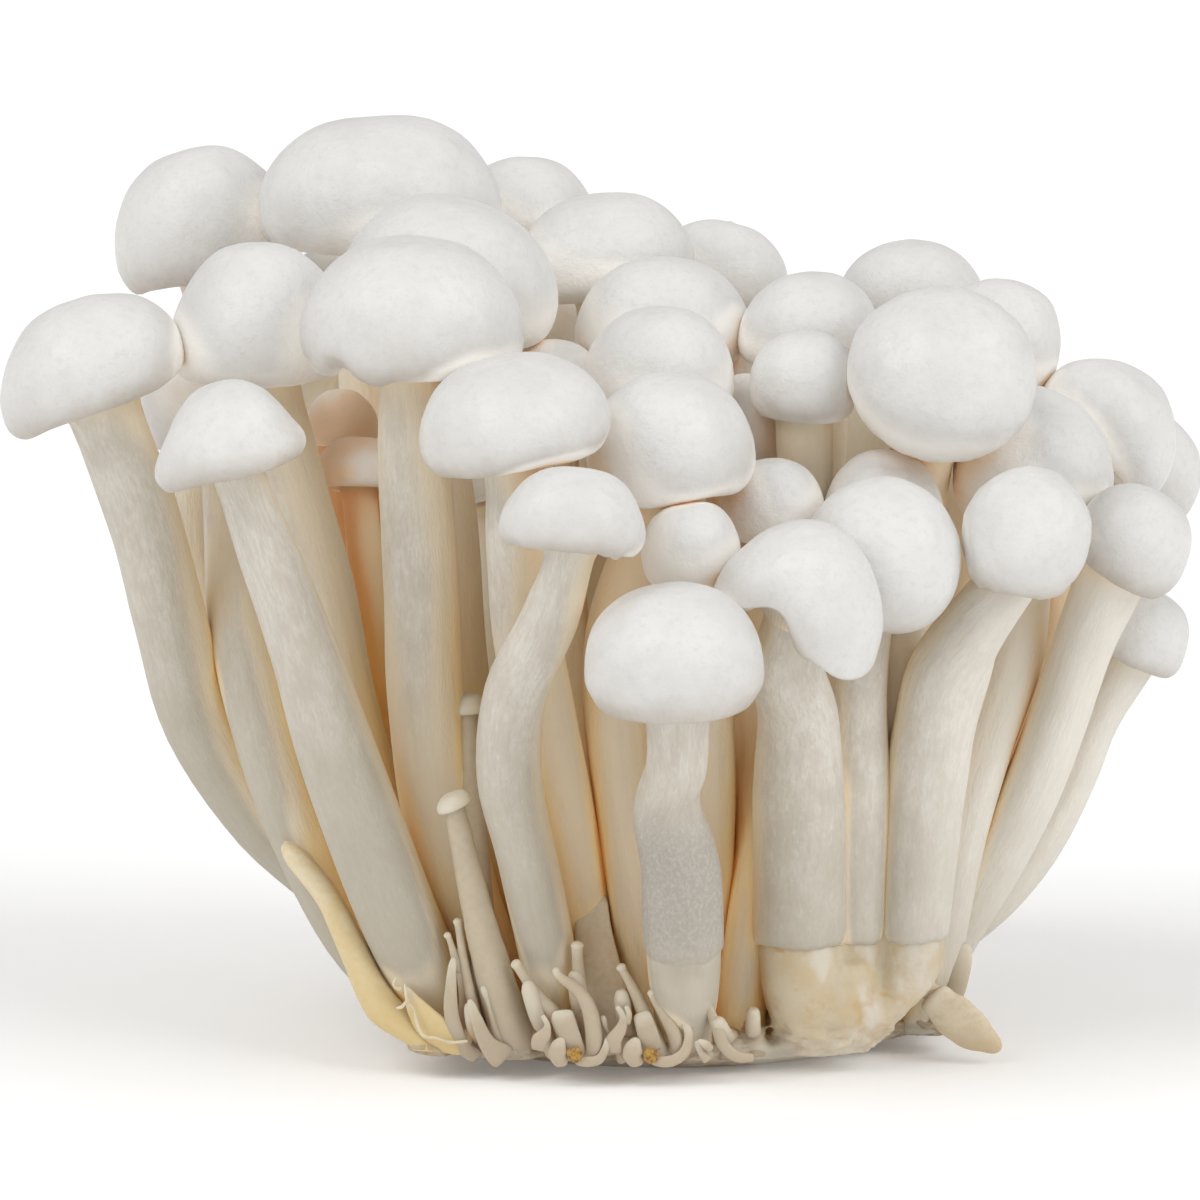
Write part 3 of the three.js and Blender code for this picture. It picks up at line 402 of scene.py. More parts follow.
# ------------------------------------------------------------------ finishes
@dataclass
class Bench:
    """Adds nodes to one material and joins them."""

    material: bpy.types.Material

    @classmethod
    def open(cls, name: str) -> "Bench":
        """A bench on a new material with nothing in it.

        Args:
            name: The material's name.

        Returns:
            The bench.
        """
        material = bpy.data.materials.new(name)
        material.use_nodes = True
        material.node_tree.nodes.clear()
        return cls(material)

    def add(self, kind: str, **settings: object) -> bpy.types.Node:
        """Adds a node and sets its properties.

        Args:
            kind: The node's kind.
            settings: Its properties, by name.

        Returns:
            The node.
        """
        node = self.material.node_tree.nodes.new(kind)
        for key, value in settings.items():
            setattr(node, key, value)
        return node

    def put(self, value: object, socket: bpy.types.NodeSocket) -> None:
        """Joins an output to a socket, or sets a plain value on it.

        Args:
            value: An output of a node, a plain value, or None to leave the socket as it is.
            socket: The socket.
        """
        if isinstance(value, bpy.types.NodeSocket):
            self.material.node_tree.links.new(value, socket)
        elif value is not None:
            socket.default_value = value

    def place(self) -> bpy.types.NodeSocket:
        """The point's own place in the bunch."""
        return self.add("ShaderNodeTexCoord").outputs["Object"]

    def read(self, name: str, kind: str = "Fac") -> bpy.types.NodeSocket:
        """A value stored on the mesh."""
        return self.add("ShaderNodeAttribute", attribute_name=name).outputs[kind]

    def grain(self, vector: object, scale: float, detail: float = 3, rough: float = 0.55,
              stretch: tuple[float, float, float] | None = None) -> bpy.types.NodeSocket:
        """Noise over a vector, stretched where asked.

        Args:
            vector: What the noise lies over.
            scale: How fine it is.
            detail: How many finer layers it has.
            rough: How strong those are.
            stretch: How much the vector is scaled first, for each axis.

        Returns:
            A value about 0.5, from 0 to 1.
        """
        if stretch:
            mapping = self.add("ShaderNodeMapping")
            self.put(vector, mapping.inputs["Vector"])
            mapping.inputs["Scale"].default_value = stretch
            vector = mapping.outputs["Vector"]
        node = self.add("ShaderNodeTexNoise")
        self.put(vector, node.inputs["Vector"])
        node.inputs["Scale"].default_value = scale
        node.inputs["Detail"].default_value = detail
        node.inputs["Roughness"].default_value = rough
        return node.outputs["Fac"]

    def mix(self, share: object, first: object, second: object) -> bpy.types.NodeSocket:
        """A blend of two colours.

        Args:
            share: Share of the second colour.
            first: A colour or a node's output.
            second: A colour or a node's output.

        Returns:
            The blend.
        """
        node = self.add("ShaderNodeMix", data_type="RGBA")
        self.put(share, node.inputs[0])
        colour_sockets = node.inputs[6:8]
        for value, socket in zip((first, second), colour_sockets):
            self.put((*value, 1) if isinstance(value, tuple) else value, socket)
        return node.outputs[2]

    def fit(self, value: object, low: float, high: float, to_low: float = 0,
            to_high: float = 1) -> bpy.types.NodeSocket:
        """A value moved from one range to another, held inside it, with soft ends.

        Args:
            value: The value.
            low: Where the first range begins.
            high: Where it ends.
            to_low: What its beginning becomes.
            to_high: What its end becomes.

        Returns:
            The moved value.
        """
        node = self.add("ShaderNodeMapRange", interpolation_type="SMOOTHSTEP")
        self.put(value, node.inputs["Value"])
        for key, number in (("From Min", low), ("From Max", high), ("To Min", to_low), ("To Max", to_high)):
            node.inputs[key].default_value = number
        return node.outputs["Result"]

    def tint(self, tone: object, colour: object, value: object, low: float, high: float,
             to_low: float = 0, to_high: float = 1) -> bpy.types.NodeSocket:
        """A tone mixed with a colour by a value fitted to a range."""
        return self.mix(self.fit(value, low, high, to_low, to_high), tone, colour)

    def apart(self, vector: object) -> list[bpy.types.NodeSocket]:
        """The three parts of a vector.

        Args:
            vector: The vector.

        Returns:
            Its part to the right, its part to the back and its part up.
        """
        node = self.add("ShaderNodeSeparateXYZ")
        self.put(vector, node.inputs[0])
        return list(node.outputs)

    def sum(self, first: object, second: object, how: str = "ADD") -> bpy.types.NodeSocket:
        """Two values joined by arithmetic.

        Args:
            first: The first value.
            second: The second value, or None.
            how: The kind of arithmetic.

        Returns:
            The result.
        """
        node = self.add("ShaderNodeMath", operation=how)
        self.put(first, node.inputs[0])
        self.put(second, node.inputs[1])
        return node.outputs[0]

    def times(self, first: object, second: object) -> bpy.types.NodeSocket:
        """The product of two values."""
        return self.sum(first, second, "MULTIPLY")

    def bump(self, height: object, depth: float, under: object = None) -> bpy.types.NodeSocket:
        """A surface raised by a height of 0 to 1, times a depth in metres.

        Args:
            height: The height.
            depth: How far a height of 1 stands out.
            under: A broader bump that this one lies on.

        Returns:
            The raised surface's direction.
        """
        node = self.add("ShaderNodeBump")
        node.inputs["Distance"].default_value = depth
        node.inputs["Strength"].default_value = 1
        self.put(height, node.inputs["Height"])
        self.put(under, node.inputs["Normal"])
        return node.outputs["Normal"]

    def flesh(self, colour: object, roughness: object, normal: object, sink: float = 0,
              glow: Colour = (1.0, 0.6, 0.35), depth: float = 1.4 * MM) -> bpy.types.Material:
        """Ends the material as flesh, with light sinking into it where asked.

        Args:
            colour: Its colour.
            roughness: Its roughness.
            normal: Its bump.
            sink: Share of the light that sinks in.
            glow: How far each colour of light travels inside, against the depth.
            depth: How far light travels, in metres.

        Returns:
            The finished material.
        """
        shader = self.add("ShaderNodeBsdfPrincipled")
        self.put(colour, shader.inputs["Base Color"])
        self.put(roughness, shader.inputs["Roughness"])
        self.put(normal, shader.inputs["Normal"])
        shader.inputs["Subsurface Weight"].default_value = sink
        shader.inputs["Subsurface Radius"].default_value = glow
        shader.inputs["Subsurface Scale"].default_value = depth
        shader.inputs["Specular IOR Level"].default_value = 0.35
        output = self.add("ShaderNodeOutputMaterial")
        self.put(shader.outputs["BSDF"], output.inputs["Surface"])
        return self.material


@dataclass(frozen=True)
class CapSkin:
    """Matt white skin with faint mottling and cream at the rim, painted shade on its edge and painted bounce
    light and glow where closed in.

    Attributes:
        light: Its palest patches.
        dark: Its mottling.
        cream: Thin rays round the rim.
        shade: Painted shade on the turned-down edge, greyer towards the rim.
        painted_bounce_light: Painted bounce light, paler where its neighbours close it in.
        deep: Painted warm glow where it lies deep between them.
        painted_bounce_light_at: Range of closeness over which the painted bounce light takes over.
        painted_deep_glow_at: The same for the painted warm glow.
    """

    light: Colour = (0.74, 0.732, 0.712)
    dark: Colour = (0.635, 0.618, 0.592)
    cream: Colour = (0.65, 0.585, 0.49)
    shade: Colour = (0.47, 0.42, 0.365)
    painted_bounce_light: Colour = (0.93, 0.905, 0.86)
    deep: Colour = (0.97, 0.74, 0.55)
    painted_bounce_light_at: Span = (0.32, 0.62)
    painted_deep_glow_at: Span = (0.74, 0.96)

    def make(self) -> bpy.types.Material:
        """Mixes the finish.

        Returns:
            The finished material.
        """
        bench = Bench.open("cap_skin")
        place = bench.place()
        cloud = bench.grain(place, 150, 3, 0.6)
        fine = bench.grain(place, 1300, 3, 0.65)
        speck = bench.grain(place, 4600, 2, 0.6)
        ray = bench.grain(bench.read("grain", "Vector"), 2300, 2, 0.6, (1, 1, 0.12))
        rim = bench.read("rim")
        tone = bench.tint(self.light, self.dark, cloud, 0.4, 0.72, 0, 0.5)
        tone = bench.tint(tone, self.dark, fine, 0.46, 0.74, 0, 0.4)
        tone = bench.mix(bench.times(bench.fit(ray, 0.45, 0.7), bench.times(rim, 0.9)), tone, self.cream)
        tone = bench.mix(bench.times(rim, 0.4), tone, self.cream)
        # Painted shade on the turned-down edge, unevenly strong.
        uneven = bench.times(bench.read("edge"), bench.fit(cloud, 0.3, 0.7, 0.55, 0.95))
        tone = bench.mix(uneven, tone, self.shade)
        # Painted bounce light and painted warm glow where the cap is closed in.
        closed = bench.read("closed")
        tone = bench.tint(tone, self.painted_bounce_light, closed, *self.painted_bounce_light_at)
        tone = bench.tint(tone, self.deep, closed, *self.painted_deep_glow_at)
        rough = bench.fit(fine, 0.3, 0.7, 0.4, 0.54)
        low = bench.bump(fine, 0.09 * MM, bench.bump(bench.grain(place, 420, 2, 0.5), 0.12 * MM))
        return bench.flesh(tone, rough, bench.bump(speck, 0.03 * MM, low))


@dataclass(frozen=True)
class GillFlesh:
    """The blades under a cap, cream, with painted warm shade between the blades and where it is closed in."""

    light: Colour = (0.86, 0.79, 0.67)
    deep: Colour = (0.90, 0.62, 0.34)

    def make(self) -> bpy.types.Material:
        """Mixes the finish.

        Returns:
            The finished material.
        """
        bench = Bench.open("gill_flesh")
        fine = bench.grain(bench.place(), 900, 3)
        closed = bench.fit(bench.read("closed"), 0.5, 0.95)
        # Painted warm shade in the grooves between the blades, and where the cap closes them in.
        tone = bench.tint(self.light, self.deep, bench.read("blade"), 0, 1, 0.45, 0)
        tone = bench.mix(closed, tone, self.deep)
        return bench.flesh(tone, 0.7, bench.bump(fine, 0.05 * MM), 0.3, (1.0, 0.55, 0.3), 0.9 * MM)


@dataclass(frozen=True)
class StemSkin:
    """Ivory skin with fine fibres and pale flecks, greyer low down partly as painted shade, with painted glow
    between neighbours.

    Attributes:
        light: Its palest patches.
        dark: Its mottling and fibres.
        low: Towards the foot: tan flesh, darkened further as painted shade.
        near: Painted warm bounce light where it is a little closed in.
        warm: Painted glow where it is closed in, high up.
        gold: Painted glow where it is closed in, low down.
        deep: Painted deep glow deep in the bunch, high up.
        amber: Painted deep glow deep in the bunch, low down.
        fleck: Pale flecks.
        painted_light_right: Painted light, paler towards the right of the bunch.
        pale: Papery skin above a skirt's edge.
        bare: The foot below it.
        painted_bounce_at: Range of closeness over which the painted bounce light takes over.
        painted_glow_at: The same for the painted glow, warm and gold.
        painted_deep_glow_at: The same for the painted deep glow, deep and amber.
        painted_light_right_at: Range over which the painted light takes over, from left to right.
        low_at: Range of heights over which low gives way.
        high_at: Range of heights over which the low-down painted glows, gold and amber, give way.
        fleck_at: Range of heights over which flecks come in.
        ragged: How uneven those heights are.
        lean: How much higher the right of the bunch counts, so it has less of the low tan and painted shade.
    """

    light: Colour = (0.69, 0.65, 0.58)
    dark: Colour = (0.54, 0.49, 0.41)
    low: Colour = (0.455, 0.41, 0.325)
    near: Colour = (0.80, 0.70, 0.53)
    warm: Colour = (0.97, 0.79, 0.55)
    gold: Colour = (0.95, 0.76, 0.43)
    deep: Colour = (0.98, 0.54, 0.27)
    amber: Colour = (0.96, 0.57, 0.20)
    fleck: Colour = (0.80, 0.775, 0.73)
    painted_light_right: Colour = (0.84, 0.80, 0.72)
    pale: Colour = (0.395, 0.36, 0.315)
    bare: Colour = (0.55, 0.50, 0.415)
    painted_bounce_at: Span = (0.28, 0.55)
    painted_glow_at: Span = (0.55, 0.8)
    painted_deep_glow_at: Span = (0.78, 0.97)
    painted_light_right_at: Span = (0.02, 0.042)
    low_at: Span = (0.016, 0.05)
    high_at: Span = (0.03, 0.055)
    fleck_at: Span = (0.018, 0.04)
    ragged: float = 0.016
    lean: float = 0.3

    def make(self) -> bpy.types.Material:
        """Mixes the finish.

        Returns:
            The finished material.
        """
        bench = Bench.open("stem_skin")
        place = bench.place()
        along = bench.read("grain", "Vector")
        streak = bench.grain(along, 2400, 3, 0.6, (1, 1, 0.13))
        thread = bench.grain(along, 5200, 2, 0.65, (1, 1, 0.25))
        speck = bench.grain(along, 3300, 1, 0.5, (1, 1, 0.38))
        cloud = bench.grain(along, 480, 3, 0.65, (1, 1, 0.5))
        broad = bench.grain(place, 160, 2, 0.6)
        tone = bench.tint(self.light, self.dark, cloud, 0.38, 0.66, 0, 0.6)
        tone = bench.tint(tone, self.dark, streak, 0.42, 0.66, 0, 0.4)
        tone = bench.tint(tone, self.dark, thread, 0.44, 0.64, 0, 0.4)
        right, _, rise = bench.apart(place)
        height = bench.sum(rise, bench.times(broad, self.ragged))
        height = bench.sum(height, bench.times(right, self.lean))
        # Towards the foot: tan flesh and painted shade, less on the right of the bunch.
        tone = bench.tint(tone, self.low, height, *self.low_at, 0.85, 0)
        skirt = bench.read("pale")
        net = bench.grain(along, 3600, 2, 0.7, (1, 1, 0.6))
        tone = bench.mix(skirt, tone, bench.mix(bench.fit(net, 0.4, 0.68, 0, 0.2), self.pale, self.fleck))
        upper = bench.fit(height, *self.fleck_at, 0.25, 1)
        tone = bench.mix(bench.times(bench.fit(speck, 0.6, 0.78, 0, 0.24), upper), tone, self.fleck)
        patchy = bench.mix(bench.fit(broad, 0.4, 0.6, 0, 0.6), self.bare, self.low)
        tone = bench.mix(bench.read("bare"), tone, patchy)
        closed = bench.read("closed")
        # Painted warm bounce light where a stem is a little closed in.
        tone = bench.tint(tone, self.near, closed, *self.painted_bounce_at, 0, 0.9)
        # Painted light, paler towards the right of the bunch.
        tone = bench.tint(tone, self.painted_light_right, right, *self.painted_light_right_at, 0, 0.6)
        # Painted glow and painted deep glow where it is closed in, golder low down.
        high = bench.fit(height, *self.high_at)
        tone = bench.tint(tone, bench.mix(high, self.gold, self.warm), closed, *self.painted_glow_at, 0, 0.95)
        tone = bench.tint(tone, bench.mix(high, self.amber, self.deep), closed, *self.painted_deep_glow_at)
        low = bench.bump(cloud, 0.12 * MM)
        low = bench.bump(streak, 0.05 * MM, low)
        normal = bench.bump(thread, 0.05 * MM, low)
        return bench.flesh(tone, bench.fit(streak, 0.3, 0.7, 0.5, 0.7), normal)


@dataclass(frozen=True)
class ClumpFlesh:
    """The fused base: mottled cream and ochre flesh, a greyer crust near the cut and painted shade in its
    crevices.

    Attributes:
        light: Its main colour.
        yellow: Broad patches.
        pale: Pale patches and the foot of the lump.
        crust: Layers near the cut.
        ochre: Veins, and painted shade in its crevices.
    """

    light: Colour = (0.61, 0.53, 0.395)
    yellow: Colour = (0.57, 0.46, 0.29)
    pale: Colour = (0.66, 0.61, 0.52)
    crust: Colour = (0.31, 0.24, 0.17)
    ochre: Colour = (0.52, 0.33, 0.14)

    def make(self) -> bpy.types.Material:
        """Mixes the finish.

        Returns:
            The finished material.
        """
        bench = Bench.open("clump_flesh")
        place = bench.place()
        cloud = bench.grain(place, 230, 4, 0.6)
        patch = bench.grain(place, 260, 3, 0.5, (1, 1, 0.6))
        fine = bench.grain(place, 2400, 3, 0.6)
        sheet = bench.grain(place, 420, 5, 0.65, (1, 1, 4))
        tone = bench.tint(self.light, self.yellow, cloud, 0.38, 0.66)
        tone = bench.tint(tone, self.pale, patch, 0.48, 0.62, 0, 0.85)
        vein = bench.sum(bench.sum(bench.grain(place, 170, 3, 0.5), 0.52, "SUBTRACT"), None, "ABSOLUTE")
        vein = bench.times(bench.fit(vein, 0, 0.05, 0.42, 0), bench.fit(cloud, 0.42, 0.6))
        tone = bench.mix(vein, tone, self.ochre)
        rise = bench.apart(place)[2]
        height = bench.sum(rise, bench.times(sheet, 0.004), "SUBTRACT")
        layers = bench.fit(bench.grain(place, 700, 3, 0.6, (1, 1, 3.5)), 0.42, 0.62, 0.45, 1)
        crust = bench.times(bench.fit(height, -0.0005, 0.003, 0.9, 0), bench.read("mound"))
        tone = bench.mix(bench.times(crust, layers), tone, self.crust)
        wash = bench.times(bench.fit(rise, 0.001, 0.0055, 0.75, 0), bench.read("lump"))
        tone = bench.mix(wash, tone, self.pale)
        # Painted shade where the clump is closed in.
        tone = bench.tint(tone, self.ochre, bench.read("closed"), 0.5, 0.95, 0, 0.8)
        low = bench.bump(patch, 0.14 * MM)
        low = bench.bump(sheet, 0.1 * MM, low)
        return bench.flesh(tone, bench.fit(patch, 0.3, 0.7, 0.42, 0.7), bench.bump(fine, 0.06 * MM, low),
                           0.15, (1.0, 0.55, 0.28), 1.4 * MM)


@dataclass(frozen=True)
class PinFlesh:
    """Flesh of young growths: one colour at the foot, another towards the tip, with painted shade low down
    and where closed in.

    Attributes:
        name: The material's name.
        light: Towards the tip.
        low: At the foot, darker: its own colour and painted shade.
        deep: Painted shade where it is closed in.
        ridge: At the tip and along a ridge.
        turn: Height at which low has given way to light.
    """

    name: str = "pin_flesh"
    light: Colour = (0.55, 0.475, 0.35)
    low: Colour = (0.47, 0.39, 0.29)
    deep: Colour = (0.43, 0.265, 0.14)
    ridge: Colour = (0.74, 0.70, 0.58)
    turn: float = 0.014

    def make(self) -> bpy.types.Material:
        """Mixes the finish.

        Returns:
            The finished material.
        """
        bench = Bench.open(self.name)
        place = bench.place()
        fine = bench.grain(place, 1700, 4, 0.6)
        cloud = bench.grain(place, 420, 3, 0.6)
        rise = bench.apart(place)[2]
        # Darker towards the foot: its own colour and painted shade.
        tone = bench.tint(self.light, self.low, rise, 0.001, self.turn, 0.9, 0)
        tone = bench.tint(tone, self.low, fine, 0.42, 0.7, 0, 0.45)
        tone = bench.tint(tone, self.low, cloud, 0.42, 0.7, 0, 0.4)
        # Painted shade where it is closed in.
        tone = bench.tint(tone, self.deep, bench.read("closed"), 0.35, 0.85, 0, 0.85)
        tone = bench.mix(bench.read("ridge"), tone, self.ridge)
        return bench.flesh(tone, 0.5, bench.bump(fine, 0.04 * MM), 0.25)


@dataclass(frozen=True)
class Nugget:
    """Dry ochre crumbs."""

    light: Colour = (0.50, 0.31, 0.08)
    dark: Colour = (0.22, 0.11, 0.03)

    def make(self) -> bpy.types.Material:
        """Mixes the finish.

        Returns:
            The finished material.
        """
        bench = Bench.open("nugget_ochre")
        fine = bench.grain(bench.place(), 2600, 4, 0.7)
        tone = bench.tint(self.light, self.dark, fine, 0.4, 0.65)
        return bench.flesh(tone, 0.75, bench.bump(fine, 0.15 * MM), 0.15, (1.0, 0.5, 0.2), 0.5 * MM)


@dataclass
class Finishes:
    """All finishes, each made once."""

    cap: bpy.types.Material
    gills: bpy.types.Material
    stem: bpy.types.Material
    clump: bpy.types.Material
    pin: bpy.types.Material
    shoot: bpy.types.Material
    scale: bpy.types.Material
    nugget: bpy.types.Material

    @classmethod
    def make(cls) -> "Finishes":
        """Makes every finish.

        Returns:
            All of them.
        """
        shoot = PinFlesh("shoot_flesh", (0.74, 0.66, 0.48), (0.66, 0.50, 0.235), turn=0.021)
        scale = PinFlesh("scale_flesh", (0.68, 0.59, 0.44), (0.55, 0.44, 0.28), turn=0.004)
        return cls(CapSkin().make(), GillFlesh().make(), StemSkin().make(), ClumpFlesh().make(),
                   PinFlesh().make(), shoot.make(), scale.make(), Nugget().make())


# ------------------------------------------------------------------ pieces
def wrap_ball(name: str, skin: np.ndarray, top: np.ndarray, foot: np.ndarray) -> bpy.types.Object:
    """Adds a ball of rows and columns and draws it over a skin.

    Args:
        name: The piece's name.
        skin: Rows of points, from the top down.
        top: The pole above the first row.
        foot: The pole under the last row.

    Returns:
        The piece, with the row and column of each vertex stored on it.
    """
    rows, columns = skin.shape[:2]
    bpy.ops.object.select_all(action="DESELECT")
    bpy.ops.mesh.primitive_uv_sphere_add(segments=columns, ring_count=rows + 1, radius=1, calc_uvs=True)
    piece = bpy.context.object
    piece.name = piece.data.name = name
    mesh = piece.data
    co = places(mesh)
    row = np.rint(np.arccos(np.clip(co[:, 2], -1, 1)) / math.pi * (rows + 1)).astype(int) - 1
    column = np.rint(np.arctan2(co[:, 1], co[:, 0]) / (2 * math.pi) * columns).astype(int) % columns
    placed = skin[np.clip(row, 0, rows - 1), column]
    placed[row < 0] = top
    placed[row >= rows] = foot
    mesh.vertices.foreach_set("co", placed.ravel())
    store(mesh, "row", row.astype(float))
    store(mesh, "column", column.astype(float))
    mesh.update()
    bpy.ops.object.shade_smooth()
    return piece


def places(mesh: bpy.types.Mesh, key: str = "co") -> np.ndarray:
    """The place of each vertex, or another vector that the mesh keeps for it.

    Args:
        mesh: The mesh.
        key: What to read: co for the place, normal for the direction.

    Returns:
        One row of three numbers for each vertex.
    """
    vectors = np.empty(len(mesh.vertices) * 3, np.float32)
    mesh.vertices.foreach_get(key, vectors)
    return vectors.reshape(-1, 3).astype(float)


def directions(mesh: bpy.types.Mesh) -> np.ndarray:
    """The direction out of the mesh at each vertex."""
    return places(mesh, "normal")


def store(mesh: bpy.types.Mesh, name: str, values: np.ndarray) -> None:
    """Stores one number or one vector for each vertex.

    Args:
        mesh: The mesh.
        name: The name to store them under.
        values: One number or one row of three for each vertex.
    """
    kind = "FLOAT" if values.ndim == 1 else "FLOAT_VECTOR"
    attribute = mesh.attributes.new(name, kind, "POINT")
    attribute.data.foreach_set("value" if kind == "FLOAT" else "vector", values.astype(np.float32).ravel())


def spread(mesh: bpy.types.Mesh, values: np.ndarray) -> np.ndarray:
    """Values of a skin's rows and columns, put in the order of the mesh's vertices."""
    row, column = (take(mesh, key).astype(int) for key in ("row", "column"))
    return values[np.clip(row, 0, len(values) - 1), column]


def take(mesh: bpy.types.Mesh, name: str) -> np.ndarray:
    """The numbers stored under a name, one for each vertex.

    Args:
        mesh: The mesh.
        name: The name that they are stored under.

    Returns:
        One number for each vertex.
    """
    values = np.empty(len(mesh.vertices), np.float32)
    mesh.attributes[name].data.foreach_get("value", values)
    return values


def finish_piece(piece: bpy.types.Object, node: str | None = None) -> None:
    """Ties a piece to the bunch and the node that it stands for.

    Args:
        piece: The piece.
        node: The frame node that it replaces, if there is one.
    """
    for name in ("row", "column"):
        if name in piece.data.attributes:
            piece.data.attributes.remove(piece.data.attributes[name])
    if node:
        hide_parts(node)
    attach(piece, BODY)


def shrink_ring(ring: np.ndarray, share: float, height: float, shift: np.ndarray) -> np.ndarray:
    """A level copy of a ring, made smaller or wider, moved and laid at a height.

    Args:
        ring: The ring.
        share: The copy's width, as a share of the ring's.
        height: Height of the copy.
        shift: How far it is moved.

    Returns:
        The copy's points.
    """
    centre = ring.mean(axis=0)
    copy = (ring - centre) * share + centre + shift
    copy[:, 2] = height
    return copy


@dataclass(frozen=True)
class Nick:
    """A place where a cap's rim is drawn up, or hangs down where the rise is negative.

    Attributes:
        at: Its direction, in degrees; 0 is right and 270 faces the viewer.
        half: Half its width, in degrees.
        rise: How far the rim moves.
    """

    at: float
    half: float
    rise: float


class Body:
    """A grown body in one skin, from its top to its foot.

    Attributes:
        name: Its frame node's name, or its own.
        skin: Rows of points from the top down.
        top: The pole above the first row.
        foot: The pole under the last row.
        foot_centre: The middle of the frame node's lowest ring.
        foot_radius: That ring's radius.
        raised: Whether it stands on the fused lump.
    """

    name: str
    skin: np.ndarray
    top: np.ndarray
    foot: np.ndarray
    foot_centre: np.ndarray
    foot_radius: float
    raised: bool = False

    def measure_foot(self, ring: np.ndarray) -> None:
        """Notes where the frame's lowest ring stands and how wide it is."""
        self.foot_centre = ring.mean(axis=0)
        self.foot_radius = np.linalg.norm(ring - self.foot_centre, axis=1).mean()


